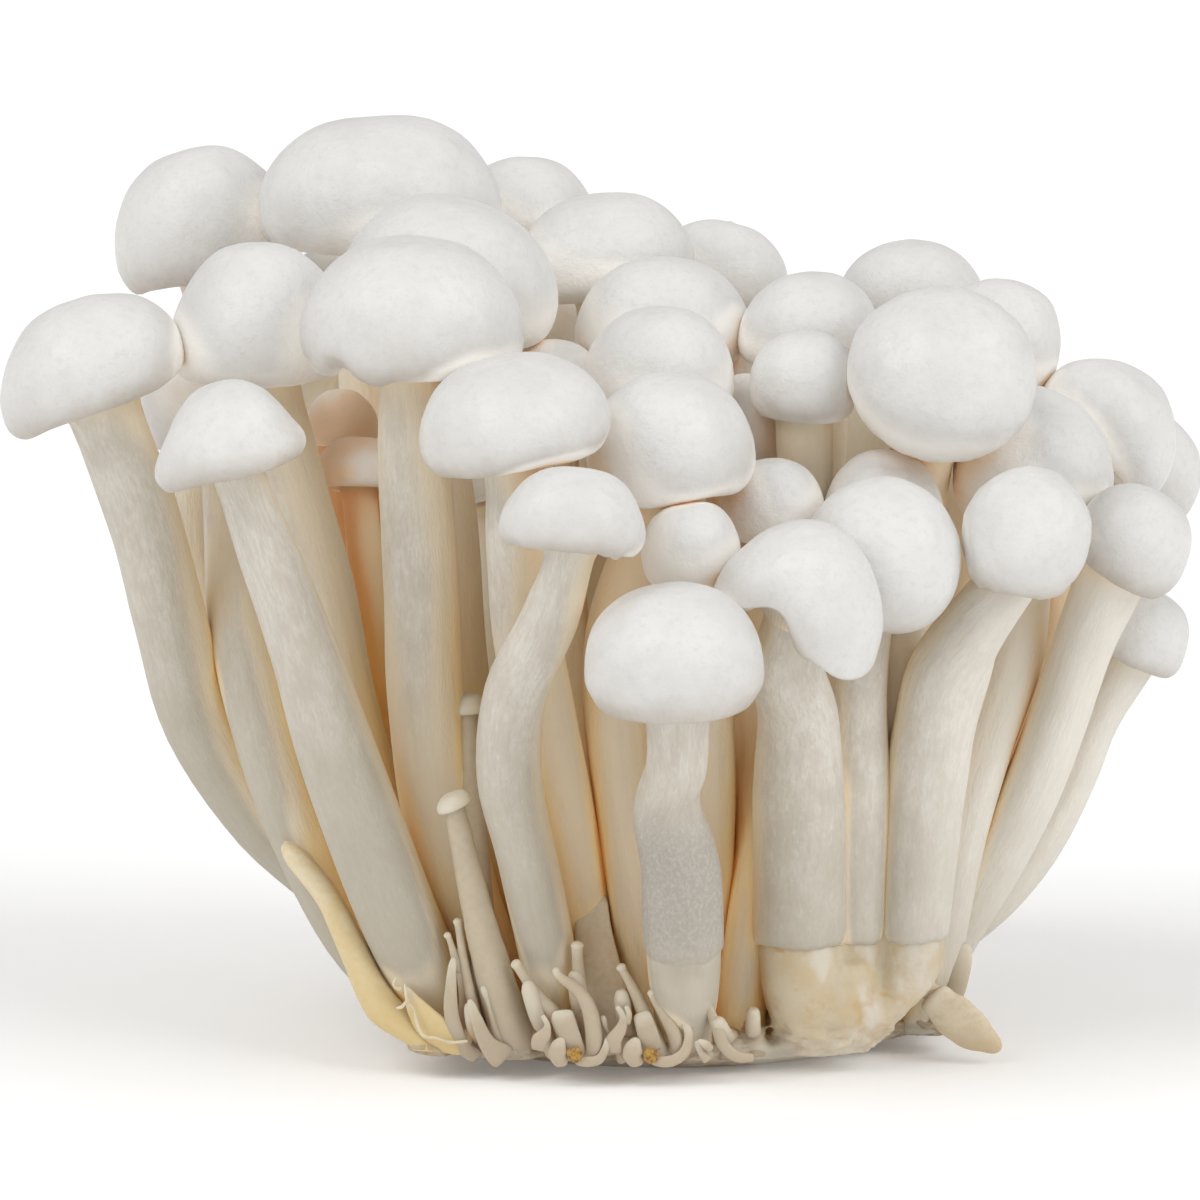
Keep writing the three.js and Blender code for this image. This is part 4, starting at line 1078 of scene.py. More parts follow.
@dataclass
class Mushroom(Body):
    """One mushroom: cap, gills and stem in a single skin.

    Attributes:
        name: Its frame node's name.
        uneven: Height of the cap's broad unevenness, as a share of its width.
        pebbles: Height of fine pebbling on the cap.
        nicks: Places where the rim is drawn up or hangs.
        skirt: Height at which the stem's outer skin ends over a bare foot, or 0.
        pale: Span of heights where the stem's skin is paper pale.
        slim: How slim the stem is, as a share of the frame's.
        glow: How much more closed in it counts, for more painted glow and bounce light.
        lip: How far the cap's margin stands out.
    """

    name: str
    uneven: float = 0.02
    pebbles: float = 0.0
    nicks: tuple[Nick, ...] = ()
    skirt: float = 0.0
    pale: tuple[float, float] | None = None
    slim: float = 1.0
    glow: float = 0.0
    lip: float = 0.14 * MM

    cap_rings: int = 6  # rings of the frame node that belong to its cap
    columns: int = 104
    # How many rows are laid from each ring to the next.
    rows: tuple[int, ...] = (5, 5, 4, 4, 6, 6, 4, 5, 5, 5, 5, 5, 5, 3, 2)
    stem_row: int = 40  # a row well down the stem, below every gill
    skin_end: float = 5.4  # the station where the cap's skin gives way to gills
    gills_end: float = 6.9  # the station where these give way to the stem
    hem: float = 0.02  # half the height of the skirt's edge, in stations
    hem_reach: Row = (0.5, 0.45, 0.5)  # stations above and below it that wave, and how softly that ends
    # Its waves: size, seed, layers, height.
    hem_waves: Rows = ((3.5 * MM, 1.7, 1, 0.55 * MM), (0.8 * MM, 3.1, 2, 0.16 * MM))
    swell_at: Row = (0, 5, 6.5, 7.5, 14)  # stations between which the swell runs from cap to stem
    cap_swell: float = 0.12 * MM  # how much fuller the cap is than its rings
    gill_swell: float = 0.05 * MM
    stem_swell: float = 0.22 * MM
    lip_at: Row = (3.4, 4.2, 4.85, 5.25)  # stations of the lip, and how far it stands out at each
    lip_share: Row = (0, 0.55, 1, 0)
    painted_shade_at: Row = (2.4, 3.5, 4.2, 4.7, 5.6, 6.3)  # stations of the painted shade on the cap's edge, and its strength
    painted_shade_share: Row = (0, 0.25, 0.65, 1, 1, 0.5)
    hollow: float = 0.5 * MM  # how far the underside is drawn up into the cap
    blades: float = 0.16 * MM  # how far each gill stands out
    blades_from: float = 0.3  # how far past the cap's skin they begin, in stations
    blades_edge: float = 0.5
    rim_at: Row = (4.4, 5.9, 1.0)  # stations of the rim's rays, and how softly they end
    zone_edge: float = 0.8  # stations over which the relief of one zone gives way to the next
    pebble: float = 1.1 * MM  # size of the pebbling
    # The cap's broad relief: size as a share of its width, seed, height.
    cap_relief: Rows = ((0.42, 0, 1), (0.16, 9, 0.3))
    # The stem's fibres and bulges: how much they are drawn out along it, size, seed, layers, height.
    stem_relief: Rows = ((0.12, 0.8 * MM, 0, 2, 0.04 * MM), (0.2, 3.0 * MM, 5, 1, 0.24 * MM))
    nick_at: Row = (4.0, 6.3, 1.2)  # stations that a nick moves, and how softly it ends
    nick_full: float = 0.25  # share of half a nick's width over which it is full
    step: float = 0.2 * MM  # thickness of the skin that ends at a skirt's edge
    flare: float = 1.1  # how much wider a stem is at the cut face
    clear: float = 0.3 * MM  # how far above the cut face its skin ends
    lean: float = 0.4  # share of its lean that a stem keeps down to the cut face
    raised_from: float = 9 * MM  # feet above this stand on the fused lump
    heel: float = 0.93  # width that a stem on the lump ends with, as a share of its lowest ring
    heel_drop: float = 0.06 * MM  # how far below its lowest ring it ends
    spread: float = 1.0 * MM  # how much fuller the stems on the lump grow
    spread_at: Row = (7.4, 10.5)  # stations over which they do
    level_at: Row = (10, math.inf, 2)  # stations where they grow no higher, and how softly that begins
    calm: float = 0.2  # how much less closed in they count, for less painted glow and bounce light
    pale_share: float = 0.9  # how papery the pale skin looks
    pale_raised: float = 0.1  # the same round the foot of the stems on the lump
    pale_at: Row = (-2 * MM, 10 * MM)  # from the foot of these, where it begins and ends
    pale_edge: float = 7 * MM  # how softly it does

    def shape(self) -> None:
        """Works out the skin from the rings of the frame node."""
        rings = read_rings(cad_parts[self.name])
        self.seed = seed_of(self.name)
        cap = rings.levels[: self.cap_rings]
        widest, centre = cap[3], cap[4].mean(axis=0)
        self.width = 2 * np.linalg.norm(widest - widest.mean(axis=0), axis=1).mean()
        self.axis = (rings.top - centre) / np.linalg.norm(rings.top - centre)
        cap[5] += self.axis * self.hollow
        stem = rings.levels[self.cap_rings:]
        stem[:] = stem.mean(axis=1)[:, None] * (1 - self.slim) + stem * self.slim
        self.plant(rings)
        stations = row_stations(self.rows)
        points = loft(rings, stations, self.columns)
        if self.skirt:
            heights = points[self.stem_row:, :, 2].mean(axis=1)
            end = float(np.interp(-self.skirt, -heights, stations[self.stem_row:]))
            stations = np.sort(np.append(stations, [end - self.hem, end + self.hem]))
            points = loft(rings, stations, self.columns)
        else:
            end = len(self.rows) + 1.0
        self.stations = stations
        self.bare = np.clip((stations - end) / (2 * self.hem) + 0.5, 0, 1)
        self.grain = self.fibre_space(points)
        normals = skin_normals(points)
        if self.raised:
            normals[..., 2] *= 1 - window(stations, *self.level_at)[:, None]
        points = points + normals * self.relief(points)[..., None]
        points = self.trim_rim(points)
        points = self.ragged(points, end)
        points[..., 2] = np.maximum(points[..., 2], cut_height(points) + ABOVE_CUT)
        self.skin, self.top = points, rings.top + self.axis * self.cap_swell
        self.foot = rings.foot

    def plant(self, rings: Rings) -> None:
        """Carries the stem down to the cut face, or ends its skin cleanly on the raised lump.

        Args:
            rings: Its rings, which gain one at the foot.
        """
        ring = rings.levels[-1]
        above = rings.levels[-2].mean(axis=0)
        self.measure_foot(ring)
        self.raised = self.foot_centre[2] > self.raised_from
        lean = (self.foot_centre - above) / max(above[2] - self.foot_centre[2], MM)
        if self.raised:
            last = shrink_ring(ring, self.heel, self.foot_centre[2] - self.heel_drop, np.zeros(3))
        else:
            shift = lean * self.foot_centre[2] * self.lean
            last = shrink_ring(ring, self.flare, cut_height(self.foot_centre + shift) + self.clear, shift)
        rings.add_foot(last)

    def relief(self, points: np.ndarray) -> np.ndarray:
        """How far each point of the skin stands out from the smooth loft.

        Args:
            points: The smooth loft.

        Returns:
            One height for each point.
        """
        stations = self.stations
        sizes = [self.cap_swell] * 2 + [self.gill_swell] + [self.stem_swell] * 2
        swell = np.interp(stations, self.swell_at, sizes)
        if self.raised:
            swell = swell + np.interp(stations, self.spread_at, [0, self.spread])
        lift = np.broadcast_to(swell[:, None], points.shape[:2]).copy()
        lift += np.interp(stations, self.lip_at, self.lip_share)[:, None] * self.lip
        cap = window(stations, -math.inf, self.skin_end, self.zone_edge)[:, None]
        broad = sum(lumps(points, self.width * size, self.seed + seed) * height
                    for size, seed, height in self.cap_relief)
        lift += cap * broad * self.uneven * self.width
        if self.pebbles:
            lift += cap * lumps(points, self.pebble, self.seed, 2) * self.pebbles
        self.comb = np.broadcast_to(np.where(np.arange(self.columns) % 2, 1.0, 0.0), points.shape[:2])
        gills = window(stations, self.skin_end + self.blades_from, self.gills_end, self.blades_edge)[:, None]
        lift += gills * (2 * self.comb - 1) * self.blades
        stem = window(stations, self.gills_end, math.inf, self.zone_edge)[:, None]
        for stretch, size, seed, depth, height in self.stem_relief:
            lift += stem * lumps(self.grain * (1, 1, stretch), size, self.seed + seed, depth) * height
        return lift - self.bare[:, None] * self.step

    def trim_rim(self, points: np.ndarray) -> np.ndarray:
        """Draws the rim up or down at each nick.

        Args:
            points: The skin's points.

        Returns:
            The moved points.
        """
        share = window(self.stations, *self.nick_at)[:, None]
        for nick in self.nicks:
            off = turned_from(self.columns, nick.at) / nick.half
            bump = soft(np.clip(1 + self.nick_full - off, 0, 1))
            points = points + (share * bump * nick.rise)[..., None] * self.axis
        return points

    def ragged(self, points: np.ndarray, end: float) -> np.ndarray:
        """Gives the lower edge of the outer skin an uneven line.

        Args:
            points: The skin's points.
            end: The station of the skirt's edge.

        Returns:
            The moved points.
        """
        if not (self.skirt or self.raised):
            return points
        line = end if self.skirt else len(self.rows) - 2
        ring = points[int(np.searchsorted(self.stations, line))] * (1, 1, 0)
        wave = sum(lumps(ring, size, seed, depth) * rise for size, seed, depth, rise in self.hem_waves)
        above, below, edge = self.hem_reach
        share = window(self.stations, line - above, line + below, edge)[:, None]
        points[..., 2] += share * wave[None, :]
        return points

    def fibre_space(self, points: np.ndarray) -> np.ndarray:
        """Coordinates that run round and along the stem, so that fibres follow its bends.

        Args:
            points: The smooth loft.

        Returns:
            One row of three numbers for each point.
        """
        centres = points.mean(axis=1)
        length = np.concatenate([[0], np.cumsum(np.linalg.norm(np.diff(centres, axis=0), axis=1))])
        rise = np.concatenate([[0], np.cumsum(np.linalg.norm(np.diff(points, axis=0), axis=2).mean(axis=1))])
        on_cap = self.stations < self.skin_end
        length = np.where(on_cap, rise, length + rise[on_cap][-1])
        angle = 2 * math.pi * np.arange(self.columns) / self.columns
        radius = np.linalg.norm(points - centres[:, None], axis=2).mean(axis=1)
        steady = np.where(on_cap, self.width / 2, np.median(radius[self.stations > self.gills_end]))
        return np.stack([
            steady[:, None] * np.cos(angle)[None, :],
            steady[:, None] * np.sin(angle)[None, :],
            np.broadcast_to(length[:, None], points.shape[:2]),
        ], axis=2) + self.seed * MM

    def build(self, depths: Depths) -> bpy.types.Object:
        """Makes the piece and stores what its finishes read.

        Args:
            depths: Measures how far each place is closed in.

        Returns:
            The piece.
        """
        piece = wrap_ball(f"{self.name}_flesh", self.skin, self.top, self.foot)
        mesh = piece.data
        rim = window(self.stations, *self.rim_at)
        white = np.zeros(self.skin.shape[:2])
        if self.pale or self.raised:
            low, high = self.pale or (self.foot_centre[2] + edge for edge in self.pale_at)
            white = window(self.skin[..., 2], low, high, self.pale_edge) * (1 - self.bare[:, None])
            white = white * (self.pale_share if self.pale else self.pale_raised)
        # How closed in each place is; the finishes paint bounce light, glow and shade by it.
        closed = np.clip(depths.over(self.skin) + self.glow - (self.calm if self.raised else 0), 0, 1)
        # Painted shade on the cap's turned-down edge, by station.
        edge = np.interp(self.stations, self.painted_shade_at, self.painted_shade_share)
        for name, values in (("closed", closed), ("blade", self.comb), ("pale", white)):
            store(mesh, name, spread(mesh, values))
        for name, values in (("rim", rim), ("edge", edge), ("bare", self.bare)):
            store(mesh, name, spread(mesh, np.broadcast_to(values[:, None], self.skin.shape[:2])))
        store(mesh, "grain", spread(mesh, self.grain))
        return piece

    def dress(self, piece: bpy.types.Object, finishes: Finishes) -> None:
        """Gives each zone its finish and puts the piece in its frame node's place.

        Args:
            piece: The piece.
            finishes: All finishes.
        """
        mesh = piece.data
        for finish in (finishes.cap, finishes.gills, finishes.stem):
            mesh.materials.append(finish)
        row = take(mesh, "row").astype(int)
        ends = np.empty(len(mesh.loops), np.int32)
        mesh.loops.foreach_get("vertex_index", ends)
        starts = np.empty(len(mesh.polygons), np.int32)
        mesh.polygons.foreach_get("loop_start", starts)
        upper = np.minimum.reduceat(row[ends], starts)
        station = self.stations[np.clip(upper, 0, len(self.stations) - 1)]
        zone = np.where(station < self.skin_end, Zone.CAP.value,
                        np.where(station < self.gills_end, Zone.GILLS.value, Zone.STEM.value))
        mesh.polygons.foreach_set("material_index", zone.astype(np.int32))
        finish_piece(piece, self.name)


# What sets some mushrooms apart from the rest.
TRAITS: dict[str, dict[str, object]] = {
    "mushroom_broad_left": {"nicks": (Nick(226, 11, 1.0 * MM), Nick(250, 9, -0.45 * MM)), "uneven": 0.016},
    "mushroom_front_wavy_stem": {"nicks": (Nick(318, 5, -0.25 * MM), Nick(296, 8, 0.2 * MM)), "uneven": 0.03},
    "mushroom_inner_dim": {"glow": 0.24},
    "mushroom_inner_low": {"glow": 0.16, "slim": 0.74},
    "mushroom_front_saddle": {"nicks": (Nick(232, 38, 2.3 * MM), Nick(184, 24, 2.1 * MM),
                                        Nick(300, 28, 1.6 * MM))},
    "mushroom_front_right_drooping": {"nicks": (Nick(214, 16, -0.7 * MM), Nick(265, 26, 0.4 * MM)),
                                      "pebbles": 0.07 * MM, "uneven": 0.026},
    "mushroom_rear_left_high": {"slim": 1.22},
    "mushroom_right_upper": {"slim": 1.25, "glow": -0.16},
    "mushroom_right_small": {"glow": -0.3},
    "mushroom_right_edge_middle": {"glow": -0.18},
    "mushroom_right_edge_low": {"glow": -0.18},
    "mushroom_back_right_high": {"slim": 1.3},
    "mushroom_front_bell": {"uneven": 0.035},
    "mushroom_far_left": {"uneven": 0.026},
    "mushroom_right_lumpy": {"uneven": 0.035},
    "mushroom_right_big_round": {"uneven": 0.016, "pebbles": 0.09 * MM},
    "mushroom_front_round": {"uneven": 0.016, "skirt": 12.9 * MM, "pale": (12 * MM, 25 * MM), "lip": 0.5 * MM,
                             "nicks": (Nick(270, 400, 0.8 * MM),)},
}


@dataclass(frozen=True)
class Sprig:
    """A small growth or flap at the foot of the bunch, drawn from its tip to its foot.

    Attributes:
        path: Points that it passes, in millimetres.
        widths: Its width at each point, in millimetres.
        flat: Its thickness, as a share of its width.
        turn: Direction that its flat side faces, in degrees; 270 faces the viewer.
        back: How far it is set back.
        slim: Its true width, as a share of the widths given.
    """

    path: Rows
    widths: Row
    flat: float = 1.0
    turn: float = 270.0
    back: float = 0.6 * MM
    slim: float = 0.88

    follow: float = 2.6 * MM  # below this height it follows the rise of the cut
    tip: float = 0.25  # how far its tip stands out, as a share of its thickness there

    def rings(self) -> Rings:
        """Rings round the path.

        Returns:
            The rings, from its tip to its foot.
        """
        path = np.array(self.path) * MM
        path[:, 2] += cut_height(path) * np.clip(1 - path[:, 2] / self.follow, 0, 1)
        path[:, 1] += self.back
        up = -np.gradient(path, axis=0)
        up /= np.linalg.norm(up, axis=1, keepdims=True)
        facing = np.array([math.cos(math.radians(self.turn)), math.sin(math.radians(self.turn)), 0.0])
        angle = 2 * math.pi * np.arange(SIDES) / SIDES
        across, deep = np.cos(angle)[:, None], self.flat * np.sin(angle)[:, None]
        levels = []
        for centre, width, way in zip(path, self.widths, up):
            side = np.cross(facing, way)
            side /= np.linalg.norm(side)
            radius = width / 2 * self.slim * MM
            levels.append(centre + radius * (across * side + deep * np.cross(way, side)))
        tip = path[0] + up[0] * self.widths[0] * self.flat * self.tip * MM
        return Rings(tip, np.array(levels), path[-1].copy())


@dataclass
class Growth(Body):
    """A slim body in one skin: a pin, a shoot, a scale or a sprig.

    Attributes:
        name: Its frame node's name, or a sprig's own.
        slot: The record's material slot; not used.
        finish: Its finish.
        sprig: The path to draw it along, where the frame has no node for it.
        head: Width and height of a tiny cap on its tip.
        stalk: Width of the stalk under that cap, at its top and at its foot.
        droop: How steeply the tiny cap tilts to the left.
        bow: How far the stalk bends to the right.
        aside: How far the tiny cap stands to the right of the frame's tip.
        glow: How much more closed in it counts than it is, for more painted shade.
        ridge: Direction of a pale ridge down its length, in degrees.
        swell: How much fuller it is than its rings.
        rough: Height of its unevenness.
        reach: Whether it grows down to the cut face.
    """

    name: str
    slot: str = "pin"
    finish: Flesh = Flesh.PIN
    sprig: Sprig | None = None
    head: tuple[float, float] | None = None
    stalk: tuple[float, float] = (1.0 * MM, 2.0 * MM)
    droop: float = 0.0
    bow: float = 0.0
    aside: float = 0.0
    glow: float = 0.0
    ridge: float | None = None
    swell: float = 0.04 * MM
    rough: float = 0.07 * MM
    reach: bool = True

    columns: int = 28
    rows_laid: tuple[int, int, int] = (4, 5, 2)  # under the tip, from ring to ring, above the foot
    clear: float = 0.4 * MM  # how far above the cut face its skin ends
    flare: float = 1.1
    tip: Row = (2.4, 0.5)  # the station where the pale tip ends, and how pale it is
    head_tip: Row = (7.6, 0.8)  # the same for a growth with a tiny cap
    ridge_half: int = 30  # half the ridge's width, in degrees
    ridge_rise: float = 0.3 * MM
    grit: float = 1.4 * MM  # size of its unevenness
    # The tiny cap from its crown to its underside: width and height at each row, as shares.
    head_rows: Rows = ((0.42, 0.97), (0.78, 0.82), (1.0, 0.5), (1.04, 0.2),
                       (0.9, 0.0), (0.72, 0.12), (0.54, 0.3))
    stalk_rows: Row = (0.0, 0.2, 0.4, 0.6, 0.8, 1.0)  # from that cap down to the foot

    def shape(self) -> None:
        """Works out the skin from the rings of the frame node or of the sprig."""
        rings = self.sprig.rings() if self.sprig else read_rings(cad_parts[self.name])
        self.measure_foot(rings.levels[-1])
        if self.reach and not self.sprig:
            floor = cut_height(self.foot_centre) + self.clear
            rings.add_foot(shrink_ring(rings.levels[-1], self.flare, floor, np.zeros(3)))
        if self.head:
            self.add_head(rings)
        first, between, last = self.rows_laid
        stations = row_stations((first, *[between] * (len(rings.levels) - 1), last))
        points = loft(rings, stations, self.columns)
        lift = self.swell + lumps(points, self.grit, seed_of(self.name), 3) * self.rough
        end, share = self.head_tip if self.head else self.tip
        self.crest = np.broadcast_to(np.clip(end - stations, 0, 1)[:, None] * share, points.shape[:2])
        if self.ridge is not None:
            off = turned_from(self.columns, self.ridge)
            self.crest = np.broadcast_to(np.clip(1 - off / self.ridge_half, 0, 1), points.shape[:2])
            lift = lift + self.crest * self.ridge_rise
        self.skin = points + skin_normals(points) * lift[..., None]
        floor = cut_height(self.skin) if self.reach and not self.sprig else 0
        self.skin[..., 2] = np.maximum(self.skin[..., 2], floor + ABOVE_CUT)
        self.top, self.foot = rings.top, rings.foot

    def add_head(self, rings: Rings) -> None:
        """Puts a tiny cap on the tip, in place of its first ring.

        Args:
            rings: Its rings, which are laid anew along the same line.
        """
        width, tall = self.head
        neck = rings.levels[1]
        axis = rings.top - neck.mean(axis=0)
        axis /= np.linalg.norm(axis)
        disc = (neck - neck.mean(axis=0)) / np.linalg.norm(neck - neck.mean(axis=0), axis=1).mean()
        base = rings.top - axis * tall + (self.aside, 0, 0)
        rings.top = rings.top + (self.aside, 0, 0)
        head = [base + axis * tall * up + disc * width / 2 * out for out, up in self.head_rows]
        for level in head:
            level[:, 2] += self.droop * (level[:, 0] - base[0])
        slim, wide = self.stalk
        foot = rings.levels[-1].mean(axis=0)
        below = []
        for share in self.stalk_rows:
            centre = base + (foot - base) * share + self.bow * math.sin(math.pi * share) * np.array([1, 0, 0])
            below.append(centre + disc * (slim + (wide - slim) * share) / 2)
        rings.levels = np.array([*head, *below])

    def build(self, depths: Depths) -> bpy.types.Object:
        """Makes the piece.

        Args:
            depths: Measures how far each place is closed in.

        Returns:
            The piece.
        """
        piece = wrap_ball(f"{self.name}_flesh", self.skin, self.top, self.foot)
        store(piece.data, "closed", spread(piece.data, depths.over(self.skin) + self.glow))
        store(piece.data, "ridge", spread(piece.data, self.crest))
        return piece

    def dress(self, piece: bpy.types.Object, finishes: Finishes) -> None:
        """Gives it its finish and puts it in its frame node's place."""
        piece.data.materials.append(getattr(finishes, self.finish.value))
        finish_piece(piece, None if self.sprig else self.name)


# Two of the pins carry a tiny cap that droops to the left, on a stalk that widens to its foot.
HEADS: dict[str, dict[str, object]] = {
    "pin_tall": {"head": (2.85 * MM, 1.8 * MM), "stalk": (1.7 * MM, 2.6 * MM), "droop": 0.16,
                 "aside": -0.9 * MM, "glow": -0.5},
    "pin_slanting": {"head": (2.8 * MM, 1.35 * MM), "stalk": (1.7 * MM, 4.0 * MM), "droop": 0.24,
                     "bow": -0.3 * MM, "glow": -0.3},
}

# Small growths round the front of the foot, beside those that the frame has.
SPRIGS: dict[str, Sprig] = {
    "sprig_rod_left": Sprig(((-12.5, -22.2, 14.2), (-12.4, -22.2, 13.8), (-12, -22.2, 11), (-11, -22, 6),
                             (-10, -21, 1)), (0.8, 0.7, 0.8, 1.1, 1.6)),
    "sprig_stub_left": Sprig(((-13.4, -22.4, 13), (-13.2, -22.3, 12.6), (-12.3, -22, 9.6)),
                             (0.6, 0.5, 0.6)),
    "sprig_blade_left": Sprig(((-12.8, -23, 11), (-13, -23, 9.4), (-13, -23, 6), (-12, -22.6, 3),
                               (-10.8, -22, 0.6)), (0.3, 0.9, 1.4, 1.5, 1.2), 0.3, 262),
    "sprig_blade_low": Sprig(((-11.4, -23.6, 7.4), (-10.9, -23.7, 6), (-9.9, -23.6, 3.6), (-8.4, -23, 1)),
                             (0.3, 1.0, 1.6, 2.4), 0.3, 280),
    "sprig_thread_left": Sprig(((-10.2, -22.8, 8.4), (-9.8, -22.8, 7), (-9, -22.6, 4), (-8, -22, 0.8)),
                               (0.6, 0.45, 0.7, 1.0)),
    "sprig_rod_middle": Sprig(((-7.4, -24, 10.8), (-7.1, -23.9, 10.3), (-5.6, -23.7, 8), (-3.6, -23.6, 5.6),
                               (-2.6, -23.2, 3)), (0.95, 0.85, 1.2, 1.6, 2.0)),
    "sprig_under_middle": Sprig(((-6, -23.6, 8), (-5.4, -23.7, 6.4), (-4.6, -23.6, 4.4), (-4, -23, 2)),
                                (0.5, 0.8, 1.1, 1.5)),
    "sprig_bent_middle": Sprig(((-3.9, -24.6, 10.3), (-3.6, -24.7, 9.8), (-1.9, -24.9, 8.5), (-1, -25, 7),
                                (-0.6, -25, 5.2), (-0.5, -24.9, 3.6), (-0.5, -24.6, 2)),
                               (0.6, 0.75, 1.2, 1.45, 1.55, 1.6, 1.6)),
    "sprig_rod_upright": Sprig(((-2, -23.4, 12.3), (-2, -23.4, 11.9), (-1.8, -23.2, 9), (-1.3, -22.8, 5),
                                (-0.6, -22.2, 1)), (1.2, 1.05, 1.3, 1.9, 2.6)),
    "sprig_sheet_middle": Sprig(((-3.3, -24.6, 6.6), (-3.2, -24.8, 5.9), (-2.8, -25, 4.9), (-2.3, -25.2, 3.8),
                                 (-2, -25, 2.8)), (1.8, 2.3, 2.1, 1.8, 1.4), 0.25),
    "sprig_thread_middle": Sprig(((0.2, -24.2, 6), (0.6, -24.2, 4.8), (1.6, -24, 2.8), (2, -23.6, 0.8)),
                                 (0.55, 0.4, 0.6, 1.0)),
    "sprig_rod_right": Sprig(((1.8, -24.2, 10.5), (2, -24.1, 10.1), (3.2, -24, 7.8), (4.3, -24, 5),
                              (5, -24, 2.4)), (0.85, 0.75, 1.1, 1.7, 2.2)),
    "sprig_rod_far": Sprig(((4.5, -24.8, 8.4), (4.6, -24.8, 8), (5.4, -24.8, 6.7), (6.4, -24.6, 4.8),
                            (7, -24.4, 3)), (0.75, 0.7, 1.05, 1.3, 1.4)),
    "sprig_heel": Sprig(((9.2, -24.9, 7.8), (9.4, -24.9, 7.3), (10.2, -24.8, 5.2), (10.8, -24.7, 3.6),
                         (12, -24.7, 2.6), (13.4, -24.5, 2.1)), (0.75, 0.7, 1.05, 1.15, 1.1, 0.6), 0.6),
    "sprig_heel_thin": Sprig(((8.4, -25, 4), (8.8, -25, 3), (9.4, -24.8, 1.6)), (0.3, 0.5, 0.8), 0.5),
    "sprig_chip": Sprig(((8.6, -25.5, 4.2), (9.2, -25.6, 3.9), (9.7, -25.4, 3.4)), (0.2, 0.7, 0.5), 0.4),
    "sprig_stub_right": Sprig(((32.4, -12, 10), (32, -12, 8), (31, -11.8, 5), (30, -11.4, 2)),
                              (1.4, 2.4, 2.8, 3.0), 0.6),
    "flap_one_lobe": Sprig(((-3.3, -25.3, 4.3), (-3.6, -25.7, 3.8), (-3.7, -25.9, 3), (-3.4, -25.9, 2.3),
                            (-2.9, -25.8, 1.9)), (0.5, 1.4, 1.8, 1.5, 0.6), 0.5, 262),
    "flap_one_ribbon": Sprig(((-5, -25.1, 6.3), (-4.6, -25.2, 5.5), (-4.8, -25.4, 4.8), (-5.3, -25.4, 4.2),
                              (-5.4, -25.2, 3.3)), (0.3, 0.55, 1.2, 1.5, 1.1), 0.28, 255),
    "flap_one_sweep": Sprig(((0.7, -25.2, 4.4), (0.5, -25.4, 3.5), (-0.1, -25.7, 2.5), (-1.1, -25.9, 1.9),
                             (-2.1, -25.8, 2.1)), (0.3, 0.75, 0.95, 1.0, 0.5), 0.4, 285),
    "flap_two_lobe": Sprig(((3.2, -25.3, 4.3), (2.95, -25.7, 3.8), (2.85, -25.9, 3), (3.15, -25.9, 2.3),
                            (3.7, -25.8, 1.9)), (0.5, 1.5, 1.95, 1.5, 0.6), 0.5, 262),
    "flap_two_ribbon": Sprig(((1.5, -25, 7.1), (2, -25.1, 6.2), (1.8, -25.3, 5.2), (1.2, -25.4, 4.2),
                              (1.3, -25.2, 3.1)), (0.35, 0.6, 1.1, 1.5, 1.2), 0.28, 255),
    "flap_two_prong": Sprig(((2.3, -25, 7.1), (2.5, -25, 6.5), (2.3, -25.1, 5.6)), (0.3, 0.5, 0.6), 0.6),
    "flap_two_sheet": Sprig(((3.6, -24.6, 6.4), (3.9, -24.8, 5.6), (4.2, -25, 4.6), (4.6, -25, 3.2)),
                            (1.4, 1.9, 2.0, 1.6), 0.25),
    "flap_two_sweep": Sprig(((7.3, -24.8, 5.8), (7.75, -25, 4.7), (7.4, -25.4, 3.2), (6.4, -25.8, 2.3),
                             (5.3, -25.9, 1.85), (4.5, -25.8, 2.1)),
                            (0.45, 0.8, 1.0, 1.1, 1.0, 0.4), 0.4, 285),
    "gold_flesh": Sprig(((-17, -21.4, 8.0), (-16.4, -21.8, 6.9), (-15.2, -22.2, 5.2), (-13.6, -22.4, 3.9),
                         (-11.4, -22.4, 3.2)), (0.3, 1.7, 3.0, 3.2, 2.0), 0.35, 250),
    "torn_web": Sprig(((-0.8, -16.6, 15.5), (-0.6, -17.8, 12.5), (-0.2, -19.4, 9), (0.2, -20.8, 5.5),
                       (0.4, -21.8, 1.5)), (2.4, 3.6, 4.8, 5.8, 6.6), 0.3, 265),
    "torn_root": Sprig(((26.9, -14, 10.2), (27.4, -13.9, 8.8), (28.4, -13.7, 7.2), (29.8, -13.9, 5.7)),
                       (0.4, 1.2, 1.8, 1.5), 0.35, 290),
    "torn_edge": Sprig(((-17.1, -22.1, 8.5), (-16.9, -22.6, 7.3), (-16.3, -22.9, 6.4), (-16, -23.2, 5.2),
                        (-15.4, -23.3, 4.1), (-14.4, -23.4, 4), (-13.2, -23.4, 3.6), (-11.6, -23.3, 3.7)),
                       (0.08, 0.2, 0.12, 0.26, 0.3, 0.14, 0.2, 0.1), 0.6),
    "torn_hook_upper": Sprig(((-17.9, -22, 9), (-18.1, -22.2, 8.6), (-17.9, -22.3, 8.2), (-17.4, -22.2, 8.1)),
                             (0.12, 0.22, 0.25, 0.3), 0.7),
    "torn_hook_lower": Sprig(((-17.8, -22.6, 6.5), (-17.4, -22.7, 6.6), (-17, -22.7, 7), (-16.7, -22.6, 7.2)),
                             (0.12, 0.25, 0.3, 0.4), 0.7),
}

NUGGETS: tuple[tuple[float, float, float], ...] = ((-2.2, -25.5, 3.05), (4.4, -25.5, 3.0))


